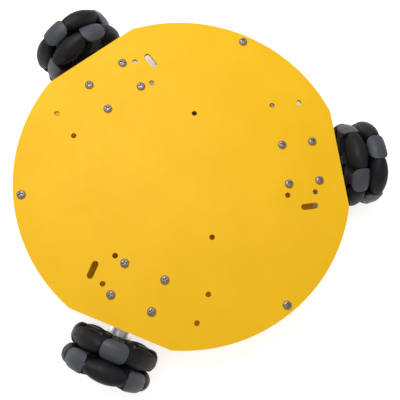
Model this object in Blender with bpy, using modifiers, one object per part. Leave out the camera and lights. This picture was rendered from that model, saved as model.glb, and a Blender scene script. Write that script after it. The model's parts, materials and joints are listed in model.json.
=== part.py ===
"""A three-wheeled omni robot: a round deck on three radial gear motors with double-row omni wheels.

Metres, +Z up. The origin is the centre of the deck's top face, and the front wheel is on +X.
Each wheel station is built once on +X and repeated every 120 degrees. In a station, u is the
distance out from the robot's centre, and v is the sideways place, positive counterclockwise.
"""
import math

import bmesh
import bpy
from mathutils import Matrix

MM = 0.001
GAP = 0.3 * MM  # between pieces that touch
FLATNESS = math.radians(0.1)  # faces that meet within this angle are one face

# Deck
DECK_RADIUS = 107 * MM
DECK_THICKNESS = 2 * MM
FLAT_U = 101.9 * MM
BRACKET_SCREW_U = (65.3 * MM, 85.6 * MM)
BRACKET_SCREW_V = 13.2 * MM
SPARE_HOLE_U = (63.3 * MM, 81.6 * MM)
SPARE_HOLE_V = (-20.4 * MM, 41.0 * MM)
SLOT_U, SLOT_V = 76.2 * MM, -29.3 * MM
SLOT_LENGTH, SLOT_WIDTH = 11.3 * MM, 4.0 * MM
EDGE_SCREW_RADIUS = 101.95 * MM
CENTRE_HOLE_U, CENTRE_HOLE_V = 11.1 * MM, 41.0 * MM
HOLE_RADIUS = 1.75 * MM

# Wheel stations: name, direction in degrees, turn of the inner row's top block towards +v
STATIONS = (("front", 0, -37.5), ("rear_left", 120, -22.0), ("rear_right", 240, 5.0))
STATION_STEP = math.radians(120)
LOBE_ANGLE = math.radians(60)  # from a wheel to the next standoff

# Omni wheel
AXLE_Z = -22.1 * MM
WHEEL_RADIUS = 29.05 * MM
WHEEL_U = 120.8 * MM  # middle plane of the double wheel
ROW_PITCH = 13.0 * MM
ROLLERS_PER_ROW = 4
ROLLER_RADIUS = 6.4 * MM
ROLLER_HALF_LENGTH = 13.0 * MM
ROLLER_RINGS = 5
ROLLER_SIDES = 12
ROLLER_BORE = 1.5 * MM
PIN_RADIUS = 1.2 * MM
PIN_REACH = 2.5 * MM  # into the block at each end
HUB_HALF_WIDTH = 6.35 * MM
BLOCK_RADIUS = 28.4 * MM
BLOCK_SHOULDER = 25.8 * MM
BLOCK_CREST = 0.45  # share of the block's width that is at full radius
POCKET_FLOOR, POCKET_END_FLOOR = 15.8 * MM, 18.0 * MM
POCKET_FLOOR_HALF = 6.0 * MM
HEX_HALF_FLATS = 4.5 * MM

# Drive, along u
SHAFT_RADIUS = 2.0 * MM
SHAFT_FLAT, SHAFT_FLAT_LENGTH = 1.5 * MM, 13.0 * MM
SHAFT_U = (87.0 * MM, 109.5 * MM)
COUPLING_RADIUS = 7.5 * MM
COUPLING_U = (98.8 * MM, 107.3 * MM)
SPIGOT_END_U = 132.5 * MM
WHEEL_SCREW_TIP_U = 121.0 * MM
WASHER_RADIUS, WASHER_THICKNESS = 6.0 * MM, 1.0 * MM
WHEEL_SCREW_HEAD_RADIUS, WHEEL_SCREW_HEAD = 4.0 * MM, 2.4 * MM

# Gear motor and bracket
PLATE_U = (94.0 * MM, 96.0 * MM)
BRACKET_INNER_U = 60.0 * MM
BRACKET_HALF_WIDTH = 17.5 * MM
BRACKET_THICKNESS = 2.0 * MM
BRACKET_BOTTOM_Z = -36.5 * MM
BEND_RADIUS = 3.0 * MM
GEARBOX_RADIUS, GEARBOX_LENGTH = 12.5 * MM, 21.0 * MM
BOSS_RADIUS, BOSS_LENGTH = 3.5 * MM, 2.5 * MM
FACE_SCREW_OFFSET = 8.5 * MM
CAN_RADIUS, CAN_LENGTH = 12.2 * MM, 31.0 * MM
BOARD_THICKNESS = 1.6 * MM
ENCODER_RADIUS, MAGNET_RADIUS, MAGNET_LENGTH = 12.0 * MM, 6.0 * MM, 6.0 * MM
SOCKET_SIZE = (6.0 * MM, 14.0 * MM, 5.0 * MM)

# M3 fasteners
M3_RADIUS = 1.5 * MM
HEAD_RADIUS, HEAD_HEIGHT = 2.8 * MM, 1.8 * MM
NUT_HALF_FLATS, NUT_HEIGHT = 2.75 * MM, 2.4 * MM
SCREW_SIDES = 8

# Tray under the deck
TRAY_TOP = -37.0 * MM
TRAY_THICKNESS = 2.0 * MM
TRAY_RADIUS = 106.5 * MM
NOTCH_U, NOTCH_HALF_WIDTH = 90.6 * MM, 30.0 * MM  # at each wheel
WAIST_V = 25.0 * MM  # the edge towards the controller's arm, in the stations beside it
RIM_STEPS, TRAY_RIM_STEPS = 15, 12
ARM_HALF_WIDTH = 35.5 * MM
ARM_SHOULDER = 92.0 * MM
ARM_END_HALF_WIDTH, ARM_END = 7.0 * MM, 106.5 * MM
ARM_CORNER_RADIUS = 6.0 * MM
CABLE_HOLE_RADIUS = 10.0 * MM
TRAY_HOLES = ((45 * MM, 25 * MM), (80 * MM, 25 * MM))  # outwards and sideways in the free lobe

# Battery and controller, each on one of the tray's three lobes
BATTERY_LOBE, CONTROLLER_LOBE, FREE_LOBE = 1, 0, 2  # lobes at 60, 180 and 300 degrees
BATTERY_REACH = 61.5 * MM
HOLDER_SIZE = (40.6 * MM, 77.0 * MM, 15.0 * MM)
HOLDER_FLOOR = 1.6 * MM
CELL_RADIUS, CELL_LENGTH = 9.2 * MM, 65.0 * MM
CELL_SPACING = 19.6 * MM
CELL_TIP_RADIUS, CELL_TIP = 2.8 * MM, 1.2 * MM
HOLDER_POSTS_V = (-24 * MM, 24 * MM)
CONTROLLER_REACH = 65.0 * MM
CONTROLLER_SIZE = (53.3 * MM, 68.6 * MM)
POST_INSET = 3.5 * MM
POST_RADIUS, POST_HEIGHT = 2.75 * MM, 6.0 * MM

YELLOW = ("Yellow powder coat", (0.93, 0.52, 0.03), 0.42, 0.0)
RUBBER = ("Black rubber", (0.018, 0.018, 0.020), 0.62, 0.0)
GREY_PLASTIC = ("Grey plastic", (0.075, 0.085, 0.095), 0.45, 0.0)
BLACK_PLASTIC = ("Black plastic", (0.02, 0.02, 0.02), 0.5, 0.0)
ALUMINIUM = ("Aluminium", (0.80, 0.81, 0.83), 0.28, 1.0)
STEEL = ("Steel", (0.62, 0.62, 0.63), 0.30, 1.0)
PLATED_CAN = ("Plated can", (0.70, 0.70, 0.72), 0.25, 1.0)
CIRCUIT_BOARD = ("Circuit board", (0.015, 0.06, 0.18), 0.45, 0.0)
CELL_WRAP = ("Cell wrap", (0.05, 0.20, 0.55), 0.40, 0.0)


# Scene, materials and objects

def clear_scene():
    for obj in list(bpy.data.objects):
        bpy.data.objects.remove(obj, do_unlink=True)


def material(finish):
    name, colour, roughness, metallic = finish
    made = bpy.data.materials.get(name)
    if made is None:
        made = bpy.data.materials.new(name)
        made.use_nodes = True
        shader = made.node_tree.nodes["Principled BSDF"]
        shader.inputs["Base Color"].default_value = (*colour, 1.0)
        shader.inputs["Roughness"].default_value = roughness
        shader.inputs["Metallic"].default_value = metallic
    return made


def collection(name):
    made = bpy.data.collections.new(name)
    bpy.context.scene.collection.children.link(made)
    return made


def empty(name, parent=None, matrix=Matrix()):
    made = bpy.data.objects.new(name, None)
    PARTS.objects.link(made)
    made.parent = parent
    made.matrix_basis = matrix
    return made


def blank(mesh):
    """A working object, which ends as a part or is used up by a Boolean."""
    made = bpy.data.objects.new("blank", mesh)
    WORKSHOP.objects.link(made)
    return made


def evaluated_mesh(obj):
    bpy.context.view_layer.update()
    return bpy.data.meshes.new_from_object(obj.evaluated_get(bpy.context.evaluated_depsgraph_get()))


def part(name, shape, finish, parent=None, matrix=Matrix()):
    """A named part from a finished mesh, which may be shared with other parts."""
    made = bpy.data.objects.new(name, shape)
    PARTS.objects.link(made)
    made.parent = parent
    made.matrix_basis = matrix
    if not shape.materials:
        shape.materials.append(material(finish))
    return made


def finished(obj):
    """The working object's mesh, shaded smooth with its real edges kept sharp."""
    mesh = evaluated_mesh(obj)
    bpy.data.objects.remove(obj, do_unlink=True)
    mesh.materials.clear()
    mesh.shade_smooth()
    mesh.set_sharp_from_angle(angle=math.radians(35))
    return mesh


# Shapes

def from_bmesh(bm):
    mesh = bpy.data.meshes.new("shape")
    bm.to_mesh(mesh)
    bm.free()
    return blank(mesh)


def box(size, centre):
    bm = bmesh.new()
    place = Matrix.Translation(centre) @ Matrix.Diagonal((*size, 1.0))
    bmesh.ops.create_cube(bm, size=1.0, matrix=place)
    return from_bmesh(bm)


def prism(radius, bottom, top, x=0.0, y=0.0, sides=SCREW_SIDES):
    """An upright round or many-sided bar."""
    bm = bmesh.new()
    bmesh.ops.create_cone(
        bm, cap_ends=True, segments=sides, radius1=radius, radius2=radius, depth=top - bottom,
        matrix=Matrix.Translation((x, y, (top + bottom) / 2)),
    )
    return from_bmesh(bm)


def hex_bar(half_flats, bottom, top, x=0.0, y=0.0):
    return prism(half_flats / math.cos(math.pi / 6), bottom, top, x, y, sides=6)


def turned(profile, steps, ring=False):
    """A solid of revolution about Z. The profile is (radius, height), down the outer side."""
    count = len(profile)
    edges = [(i, i + 1) for i in range(count - 1)]
    if ring:
        edges.append((count - 1, 0))
    mesh = bpy.data.meshes.new("profile")
    mesh.from_pydata([(radius, 0.0, height) for radius, height in profile], edges, [])
    obj = blank(mesh)
    screw = obj.modifiers.new("Turn", "SCREW")
    screw.steps = steps
    screw.render_steps = steps
    screw.use_merge_vertices = True
    screw.merge_threshold = 1e-6
    return baked(obj)


def plate(outline, bottom, top):
    """A flat outline in X and Y, given a thickness from bottom to top."""
    curve = bpy.data.curves.new("outline", "CURVE")
    curve.dimensions = "2D"
    curve.fill_mode = "BOTH"
    curve.extrude = (top - bottom) / 2
    spline = curve.splines.new("POLY")
    spline.points.add(len(outline) - 1)
    for point, (x, y) in zip(spline.points, outline):
        point.co = (x, y, 0.0, 1.0)
    spline.use_cyclic_u = True
    obj = blank(curve)
    mesh = evaluated_mesh(obj)
    bpy.data.objects.remove(obj, do_unlink=True)
    bm = bmesh.new()
    bm.from_mesh(mesh)
    bmesh.ops.remove_doubles(bm, verts=bm.verts, dist=1e-6)
    bmesh.ops.dissolve_limit(bm, angle_limit=FLATNESS, verts=bm.verts, edges=bm.edges)
    bmesh.ops.recalc_face_normals(bm, faces=bm.faces)
    bm.to_mesh(mesh)
    bm.free()
    mesh.transform(Matrix.Translation((0.0, 0.0, (top + bottom) / 2)))
    return blank(mesh)


def arc(x, y, radius, start, end, steps):
    """Points on an arc about (x, y), between two angles in radians."""
    angles = [start + (end - start) * i / steps for i in range(steps + 1)]
    return [(x + radius * math.cos(a), y + radius * math.sin(a)) for a in angles]


def baked(obj):
    """The same object with its modifiers applied."""
    mesh = evaluated_mesh(obj)
    obj.modifiers.clear()
    obj.data = mesh
    return obj


def boolean(obj, tools, operation):
    for tool in tools:
        modifier = obj.modifiers.new("Boolean", "BOOLEAN")
        modifier.operation = operation
        modifier.solver = "EXACT"
        modifier.object = tool
    baked(obj)
    for tool in tools:
        bpy.data.objects.remove(tool, do_unlink=True)
    return obj


def cut(obj, tools):
    return boolean(obj, tools, "DIFFERENCE")


def join(obj, tools):
    return boolean(obj, tools, "UNION")


def moved(obj, matrix):
    obj.data.transform(matrix)
    return obj


def turn_z(angle):
    return Matrix.Rotation(angle, 4, "Z")


def turned_point(x, y, angle):
    return (x * math.cos(angle) - y * math.sin(angle), x * math.sin(angle) + y * math.cos(angle))


# Fasteners

def screw(tip, seat, x, y):
    """An M3 pan-head screw pointing down: its head sits on the seat's height."""
    crown = seat + HEAD_HEIGHT
    profile = [
        (0.0, crown), (HEAD_RADIUS, crown), (HEAD_RADIUS, seat), (M3_RADIUS, seat),
        (M3_RADIUS, tip), (0.0, tip),
    ]
    return moved(turned(profile, SCREW_SIDES), Matrix.Translation((x, y, 0.0)))


def tray_post(radius, top, x, y):
    """A spacer on the tray, with its screw coming up through the tray from a head below it."""
    seat = TRAY_TOP + GAP
    underside = TRAY_TOP - TRAY_THICKNESS - GAP
    profile = [
        (0.0, top), (radius, top), (radius, seat), (M3_RADIUS, seat), (M3_RADIUS, underside),
        (HEAD_RADIUS, underside), (HEAD_RADIUS, underside - HEAD_HEIGHT),
        (0.0, underside - HEAD_HEIGHT),
    ]
    return moved(turned(profile, SCREW_SIDES), Matrix.Translation((x, y, 0.0)))


# Deck and tray

def holes(points, bottom, top):
    return [prism(HOLE_RADIUS, bottom, top, x, y) for x, y in points]


def slot(bottom, top, angle):
    half = SLOT_LENGTH / 2 - SLOT_WIDTH / 2
    outline = arc(SLOT_U + half, SLOT_V, SLOT_WIDTH / 2, -math.pi / 2, math.pi / 2, 4)
    outline += arc(SLOT_U - half, SLOT_V, SLOT_WIDTH / 2, math.pi / 2, math.pi * 1.5, 4)
    return moved(plate(outline, bottom, top), turn_z(angle))


def deck_holes():
    """Every round hole of the deck: bracket screws, spare holes, edge screws and centre holes."""
    points = [(CENTRE_HOLE_U, side * CENTRE_HOLE_V) for side in (-1, 1)]
    for i in range(len(STATIONS)):
        angle = i * STATION_STEP
        station = [(u, side * BRACKET_SCREW_V) for u in BRACKET_SCREW_U for side in (-1, 1)]
        station += [(u, v) for u in SPARE_HOLE_U for v in SPARE_HOLE_V]
        points += [turned_point(u, v, angle) for u, v in station]
        points.append(turned_point(EDGE_SCREW_RADIUS, 0.0, angle + LOBE_ANGLE))
    return points


def deck_shape():
    """A disc with a flat at each wheel."""
    half_flat = math.acos(FLAT_U / DECK_RADIUS)
    outline = []
    for i in range(len(STATIONS)):
        start = i * STATION_STEP
        outline += arc(0, 0, DECK_RADIUS, start + half_flat, start + STATION_STEP - half_flat, RIM_STEPS)
    above, below = DECK_THICKNESS, -2 * DECK_THICKNESS
    tools = holes(deck_holes(), below, above)
    tools += [slot(below, above, i * STATION_STEP) for i in range(len(STATIONS))]
    return finished(cut(plate(outline, -DECK_THICKNESS, 0.0), tools))


def lobe_angle(lobe):
    return LOBE_ANGLE + lobe * STATION_STEP


def battery_posts():
    return [turned_point(BATTERY_REACH, v, lobe_angle(BATTERY_LOBE)) for v in HOLDER_POSTS_V]


def controller_posts():
    reach = CONTROLLER_SIZE[0] / 2 - POST_INSET
    side = CONTROLLER_SIZE[1] / 2 - POST_INSET
    corners = [(CONTROLLER_REACH + i * reach, j * side) for i in (-1, 1) for j in (-1, 1)]
    return [turned_point(x, y, lobe_angle(CONTROLLER_LOBE)) for x, y in corners]


def controller_arm():
    """The outline of the controller's lobe, an arm that ends in a narrow tip under its standoff."""
    lean = math.atan2(ARM_HALF_WIDTH - ARM_END_HALF_WIDTH, ARM_END - ARM_SHOULDER)
    corner_x = ARM_SHOULDER - ARM_CORNER_RADIUS
    corner_y = ARM_HALF_WIDTH - ARM_CORNER_RADIUS
    tip_x = ARM_END - ARM_END_HALF_WIDTH
    edge = arc(corner_x, -corner_y, ARM_CORNER_RADIUS, -math.pi / 2, lean - math.pi / 2, 3)
    edge += arc(tip_x, 0, ARM_END_HALF_WIDTH, lean - math.pi / 2, math.pi / 2 - lean, 6)
    edge += arc(corner_x, corner_y, ARM_CORNER_RADIUS, math.pi / 2 - lean, math.pi / 2, 3)
    return [turned_point(x, y, lobe_angle(CONTROLLER_LOBE)) for x, y in edge]


def tray_shape():
    """A round plate, notched at the wheels and cut back on both sides of the controller's arm."""
    half_notch = math.asin(NOTCH_HALF_WIDTH / TRAY_RADIUS)
    waist_u = (ARM_HALF_WIDTH + WAIST_V * math.cos(LOBE_ANGLE)) / math.sin(LOBE_ANGLE)
    outline = [(NOTCH_U, -NOTCH_HALF_WIDTH), (NOTCH_U, WAIST_V), (waist_u, WAIST_V)]
    outline += controller_arm()
    next_station = [(waist_u, -WAIST_V), (NOTCH_U, -WAIST_V), (NOTCH_U, NOTCH_HALF_WIDTH)]
    outline += [turned_point(u, v, STATION_STEP) for u, v in next_station]
    notch = [(NOTCH_U, v) for v in (-NOTCH_HALF_WIDTH, NOTCH_HALF_WIDTH)]
    rim = arc(0, 0, TRAY_RADIUS, half_notch, STATION_STEP - half_notch, TRAY_RIM_STEPS)
    outline += [turned_point(x, y, STATION_STEP) for x, y in rim]
    outline += [turned_point(x, y, 2 * STATION_STEP) for x, y in notch + rim]
    bottom = TRAY_TOP - TRAY_THICKNESS
    points = [turned_point(EDGE_SCREW_RADIUS, 0, lobe_angle(lobe)) for lobe in range(len(STATIONS))]
    points += battery_posts() + controller_posts()
    for reach, side in TRAY_HOLES:
        points += [turned_point(reach, j * side, lobe_angle(FREE_LOBE)) for j in (-1, 1)]
    tools = holes(points, bottom - GAP, TRAY_TOP + GAP)
    tools.append(prism(CABLE_HOLE_RADIUS, bottom - GAP, TRAY_TOP + GAP, sides=24))
    return finished(cut(plate(outline, bottom, TRAY_TOP), tools))


def standoff_shape():
    """A hex standoff between deck and tray, with its two screws."""
    bar = hex_bar(NUT_HALF_FLATS, TRAY_TOP + GAP, -DECK_THICKNESS - GAP)
    top_screw = screw(-DECK_THICKNESS - 2 * MM, GAP, 0.0, 0.0)
    foot = tray_post(NUT_HALF_FLATS * 0.9, TRAY_TOP + 2 * MM, 0.0, 0.0)
    return finished(join(bar, [top_screw, foot]))


# Bracket and motor, built in the station's frame on +X

def bracket_shape():
    """A bent bracket under the deck, with the four screws and nuts that hold it."""
    top = -DECK_THICKNESS - GAP
    underside = top - BRACKET_THICKNESS
    inner, outer = PLATE_U
    bend = arc(outer - BEND_RADIUS, top - BEND_RADIUS, BEND_RADIUS, math.pi / 2, 0.0, 4)
    profile = [(BRACKET_INNER_U, underside), (BRACKET_INNER_U, top)] + bend
    profile += [(outer, BRACKET_BOTTOM_Z), (inner, BRACKET_BOTTOM_Z)]
    inside = BEND_RADIUS - BRACKET_THICKNESS
    profile += arc(inner - inside, underside - inside, inside, 0.0, math.pi / 2, 2)
    sheet = plate(profile, -BRACKET_HALF_WIDTH, BRACKET_HALF_WIDTH)
    moved(sheet, Matrix.Rotation(math.pi / 2, 4, "X"))
    through = [u_bar(BOSS_RADIUS + GAP, inner - MM, outer + MM)]
    through += [
        u_bar(M3_RADIUS + GAP, inner - MM, outer + MM, side * FACE_SCREW_OFFSET)
        for side in (-1, 1)
    ]
    cut(sheet, through)
    tip = underside - NUT_HEIGHT - 1.2 * MM
    fasteners = []
    for u in BRACKET_SCREW_U:
        for v in (-BRACKET_SCREW_V, BRACKET_SCREW_V):
            fasteners.append(screw(tip, GAP, u, v))
            fasteners.append(hex_bar(NUT_HALF_FLATS, underside - NUT_HEIGHT, underside + MM, u, v))
    return finished(join(sheet, fasteners))


def u_bar(radius, start, end, v=0.0, sides=SCREW_SIDES):
    """A bar along u at the height of the axle."""
    return moved(prism(radius, start, end, 0.0, v, sides), ALONG_U)


def gearbox_shape():
    """The gear head with its boss, shaft bore and the two screws that hold it to the bracket."""
    face = PLATE_U[0] - GAP
    bore = SHAFT_RADIUS + GAP
    profile = [
        (0.0, SHAFT_U[0] - 2 * MM), (bore, SHAFT_U[0] - 2 * MM), (bore, face + BOSS_LENGTH),
        (BOSS_RADIUS, face + BOSS_LENGTH), (BOSS_RADIUS, face), (GEARBOX_RADIUS, face),
        (GEARBOX_RADIUS, face - GEARBOX_LENGTH), (0.0, face - GEARBOX_LENGTH),
    ]
    body = turned(profile, 20)
    screws = [
        screw(face - 3 * MM, PLATE_U[1] + GAP, 0.0, side * FACE_SCREW_OFFSET) for side in (-1, 1)
    ]
    return finished(moved(join(body, screws), ALONG_U))


def can_shape():
    top = PLATE_U[0] - 2 * GAP - GEARBOX_LENGTH
    bottom = top - CAN_LENGTH
    lip = 1.0 * MM
    profile = [
        (0.0, top), (CAN_RADIUS, top), (CAN_RADIUS, bottom + lip), (CAN_RADIUS - lip, bottom),
        (0.0, bottom),
    ]
    return finished(moved(turned(profile, 20), ALONG_U))


def encoder_shape():
    """A magnet wheel behind the motor, the round sensor board and its socket."""
    top = PLATE_U[0] - 3 * GAP - GEARBOX_LENGTH - CAN_LENGTH
    board = top - MAGNET_LENGTH
    bottom = board - BOARD_THICKNESS
    profile = [
        (0.0, top), (MAGNET_RADIUS, top), (MAGNET_RADIUS, board), (ENCODER_RADIUS, board),
        (ENCODER_RADIUS, bottom), (0.0, bottom),
    ]
    socket = box(SOCKET_SIZE, (ENCODER_RADIUS / 2, 0.0, bottom - SOCKET_SIZE[2] / 2 + 0.1 * MM))
    return finished(moved(join(turned(profile, 16), [socket]), ALONG_U))


# Wheel pieces, built about local Z, which points outwards along the axle

def shaft_shape():
    start, end = (u - WHEEL_U for u in SHAFT_U)
    size = (2 * MM, 3 * SHAFT_RADIUS, SHAFT_FLAT_LENGTH + MM)
    flat = box(size, (SHAFT_FLAT + MM, 0.0, end + (MM - SHAFT_FLAT_LENGTH) / 2))
    return finished(cut(prism(SHAFT_RADIUS, start, end, sides=12), [flat]))


def coupling_shape():
    """A round flange outside the wheel and a hex spigot through it, bored right through."""
    start, shoulder = (u - WHEEL_U for u in COUPLING_U)
    end = SPIGOT_END_U - WHEEL_U
    chamfer = 0.6 * MM
    profile = [
        (0.0, shoulder), (COUPLING_RADIUS - chamfer, shoulder), (COUPLING_RADIUS, shoulder - chamfer),
        (COUPLING_RADIUS, start + chamfer), (COUPLING_RADIUS - chamfer, start), (0.0, start),
    ]
    body = join(turned(profile, 16), [hex_bar(HEX_HALF_FLATS, shoulder - MM, end)])
    return finished(cut(body, [prism(SHAFT_RADIUS + GAP, start - MM, end + MM, sides=12)]))


def wheel_screw_shape():
    """The screw and washer that hold the wheel on its coupling."""
    seat = (ROW_PITCH / 2 + HUB_HALF_WIDTH) + GAP
    head = seat + WASHER_THICKNESS
    crown = head + WHEEL_SCREW_HEAD
    tip = WHEEL_SCREW_TIP_U - WHEEL_U
    profile = [
        (0.0, crown), (WHEEL_SCREW_HEAD_RADIUS * 0.75, crown), (WHEEL_SCREW_HEAD_RADIUS, head + MM),
        (WHEEL_SCREW_HEAD_RADIUS, head), (WASHER_RADIUS, head), (WASHER_RADIUS, seat),
        (SHAFT_RADIUS, seat), (SHAFT_RADIUS, tip), (0.0, tip),
    ]
    return finished(turned(profile, 12))


def roller_axis_radius():
    return WHEEL_RADIUS - ROLLER_RADIUS


def roller_shape():
    """A barrel whose outer line is an arc of the wheel's circle, bored for its pin."""
    half = ROLLER_HALF_LENGTH
    heights = [half - 2 * half * i / ROLLER_RINGS for i in range(ROLLER_RINGS + 1)]
    profile = [(math.sqrt(WHEEL_RADIUS**2 - h**2) - roller_axis_radius(), h) for h in heights]
    profile += [(ROLLER_BORE, -half), (ROLLER_BORE, half)]
    return finished(turned(profile, ROLLER_SIDES, ring=True))


def pocket(angle):
    """The space of one roller: it opens outwards, and its floor follows the roller's taper."""
    half, deep, open_end = ROLLER_HALF_LENGTH + GAP, POCKET_FLOOR, WHEEL_RADIUS * 1.2
    outline = [
        (POCKET_END_FLOOR, -half), (open_end, -half), (open_end, half), (POCKET_END_FLOOR, half),
        (deep, POCKET_FLOOR_HALF), (deep, -POCKET_FLOOR_HALF),
    ]
    reach = HUB_HALF_WIDTH + MM
    return moved(plate(outline, -reach, reach), turn_z(angle))


def pin(angle):
    reach = ROLLER_HALF_LENGTH + PIN_REACH
    bar = prism(PIN_RADIUS, -reach, reach, sides=8)
    lay = Matrix.Translation((roller_axis_radius(), 0.0, 0.0)) @ Matrix.Rotation(-math.pi / 2, 4, "X")
    return moved(bar, turn_z(angle) @ lay)


def hub_shape(twist):
    """One row's body: four blocks around a core, with the pins that carry the rollers.

    The hex socket is turned by the row's twist, so that both rows fit the same spigot.
    """
    width = HUB_HALF_WIDTH
    rim = [
        (BLOCK_SHOULDER, width), (BLOCK_RADIUS, width * BLOCK_CREST), (BLOCK_RADIUS, -width * BLOCK_CREST),
        (BLOCK_SHOULDER, -width),
    ]
    body = turned([(0.0, width)] + rim + [(0.0, -width)], 40)
    angles = [math.tau * (i + 0.5) / ROLLERS_PER_ROW for i in range(ROLLERS_PER_ROW)]
    tools = [pocket(angle) for angle in angles]
    socket = hex_bar(HEX_HALF_FLATS + GAP, -width - MM, width + MM)
    tools.append(moved(socket, turn_z(twist)))
    cut(body, tools)
    return finished(join(body, [pin(angle) for angle in angles]))


# Battery and controller, built outwards along +X and turned onto their lobes

def holder_shape():
    """An open holder with a round trough for each cell."""
    bottom = TRAY_TOP + GAP
    body = box(HOLDER_SIZE, (BATTERY_REACH, 0.0, bottom + HOLDER_SIZE[2] / 2))
    trough_radius = CELL_RADIUS + GAP
    axis_z = cell_axis_z()
    length = CELL_LENGTH + 2 * CELL_TIP + 4 * GAP
    tools = []
    for side in (-1, 1):
        x = BATTERY_REACH + side * CELL_SPACING / 2
        trough = moved(
            prism(trough_radius, -length / 2, length / 2, sides=20),
            Matrix.Translation((x, 0.0, axis_z)) @ Matrix.Rotation(math.pi / 2, 4, "X"),
        )
        mouth = box(
            (2 * trough_radius, length, HOLDER_SIZE[2]),
            (x, 0.0, axis_z + HOLDER_SIZE[2] / 2),
        )
        tools += [trough, mouth]
    cut(body, tools)
    posts = [tray_post(POST_RADIUS, bottom + MM, BATTERY_REACH, v) for v in HOLDER_POSTS_V]
    return finished(moved(join(body, posts), turn_z(lobe_angle(BATTERY_LOBE))))


def cell_axis_z():
    return TRAY_TOP + GAP + HOLDER_FLOOR + GAP + CELL_RADIUS


def cell_shape():
    """One round cell lying along Y, with its raised contact."""
    half = CELL_LENGTH / 2
    lip = 0.6 * MM
    profile = [
        (0.0, half + CELL_TIP), (CELL_TIP_RADIUS, half + CELL_TIP), (CELL_TIP_RADIUS, half),
        (CELL_RADIUS - lip, half), (CELL_RADIUS, half - lip), (CELL_RADIUS, -half), (0.0, -half),
    ]
    return finished(moved(turned(profile, 16), Matrix.Rotation(math.pi / 2, 4, "X")))


def controller_shape():
    """The controller board on its spacers, with its sockets, chips and capacitor."""
    bottom = TRAY_TOP + POST_HEIGHT
    top = bottom + BOARD_THICKNESS
    middle = (CONTROLLER_REACH, 0.0, (bottom + top) / 2)
    board = box((*CONTROLLER_SIZE, BOARD_THICKNESS), middle)
    reach = CONTROLLER_SIZE[0] / 2 - POST_INSET
    side = CONTROLLER_SIZE[1] / 2 - POST_INSET
    pieces = [
        tray_post(POST_RADIUS, top + 1.5 * MM, CONTROLLER_REACH + i * reach, j * side)
        for i in (-1, 1) for j in (-1, 1)
    ]
    # each block on the board: outwards, sideways, then its size
    blocks = [
        (0.0, 0.0, 14 * MM, 14 * MM, 2.0 * MM),
        (12 * MM, 27 * MM, 12 * MM, 10 * MM, 8 * MM),
        (12 * MM, -27 * MM, 14 * MM, 11 * MM, 9 * MM),
    ]
    blocks += [(-20 * MM, v, 8 * MM, 15 * MM, 6 * MM) for v in (-19 * MM, 0.0, 19 * MM)]
    for x, y, length, width, height in blocks:
        centre = (CONTROLLER_REACH + x, y, top + height / 2 - 0.1 * MM)
        pieces.append(box((length, width, height), centre))
    pieces.append(prism(4 * MM, top - 0.1 * MM, top + 11 * MM, CONTROLLER_REACH + 18 * MM, 12 * MM))
    return finished(moved(join(board, pieces), turn_z(lobe_angle(CONTROLLER_LOBE))))


# Assembly

def add_chassis():
    part("deck", deck_shape(), YELLOW)
    part("lower_tray", tray_shape(), YELLOW)
    standoff = standoff_shape()
    for lobe, name in enumerate(("left", "rear", "right")):
        x, y = turned_point(EDGE_SCREW_RADIUS, 0.0, lobe_angle(lobe))
        part(f"{name}_standoff", standoff, ALUMINIUM, matrix=Matrix.Translation((x, y, 0.0)))


def add_electronics():
    part("battery_holder", holder_shape(), BLACK_PLASTIC)
    cell = cell_shape()
    for name, side in (("inner", -1), ("outer", 1)):
        place = (BATTERY_REACH + side * CELL_SPACING / 2, 0.0, cell_axis_z())
        way_round = turn_z(0.0 if side > 0 else math.pi)
        matrix = turn_z(lobe_angle(BATTERY_LOBE)) @ Matrix.Translation(place) @ way_round
        part(f"{name}_battery_cell", cell, CELL_WRAP, matrix=matrix)
    part("controller_board", controller_shape(), CIRCUIT_BOARD)


def add_drives():
    """A bracket, gearbox, motor and encoder at each station."""
    pieces = (
        ("motor_bracket", bracket_shape(), ALUMINIUM),
        ("gearbox", gearbox_shape(), STEEL),
        ("motor_can", can_shape(), PLATED_CAN),
        ("encoder", encoder_shape(), CIRCUIT_BOARD),
    )
    for name, direction, _ in STATIONS:
        station = empty(f"{name}_station", matrix=turn_z(math.radians(direction)))
        for piece, shape, finish in pieces:
            part(f"{name}_{piece}", shape, finish, station)


def add_wheels():
    """Two rows of rollers on each axle; the outer row is turned by half a roller's pitch."""
    axle_pieces = (
        ("output_shaft", shaft_shape(), STEEL),
        ("wheel_coupling", coupling_shape(), ALUMINIUM),
        ("wheel_screw", wheel_screw_shape(), STEEL),
    )
    pitch = math.tau / ROLLERS_PER_ROW
    rows = (("inner", -0.5, 0.0, hub_shape(0.0)), ("outer", 0.5, pitch / 2, hub_shape(pitch / 2)))
    roller = roller_shape()
    for name, direction, phase in STATIONS:
        outwards = turn_z(math.radians(direction)) @ Matrix.Translation((WHEEL_U, 0.0, AXLE_Z))
        axle = empty(f"{name}_axle", matrix=outwards @ UP_AND_OUT @ turn_z(-math.radians(phase)))
        for piece, shape, finish in axle_pieces:
            part(f"{name}_{piece}", shape, finish, axle)
        for row, side, twist, hub in rows:
            place = Matrix.Translation((0.0, 0.0, side * ROW_PITCH)) @ turn_z(-twist)
            part(f"{name}_{row}_hub", hub, GREY_PLASTIC, axle, place)
            for i in range(ROLLERS_PER_ROW):
                spoke = place @ turn_z((i + 0.5) * pitch)
                lay = Matrix.Translation((roller_axis_radius(), 0.0, 0.0))
                lay = lay @ Matrix.Rotation(-math.pi / 2, 4, "X")
                part(f"{name}_{row}_roller_{i + 1}", roller, RUBBER, axle, spoke @ lay)


# Local Z outwards along +X, local X up or down, at the height of the axle
ALONG_U = Matrix.Translation((0.0, 0.0, AXLE_Z)) @ Matrix.Rotation(math.pi / 2, 4, "Y")
UP_AND_OUT = Matrix(((0, 0, 1, 0), (0, -1, 0, 0), (1, 0, 0, 0), (0, 0, 0, 1)))

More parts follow.
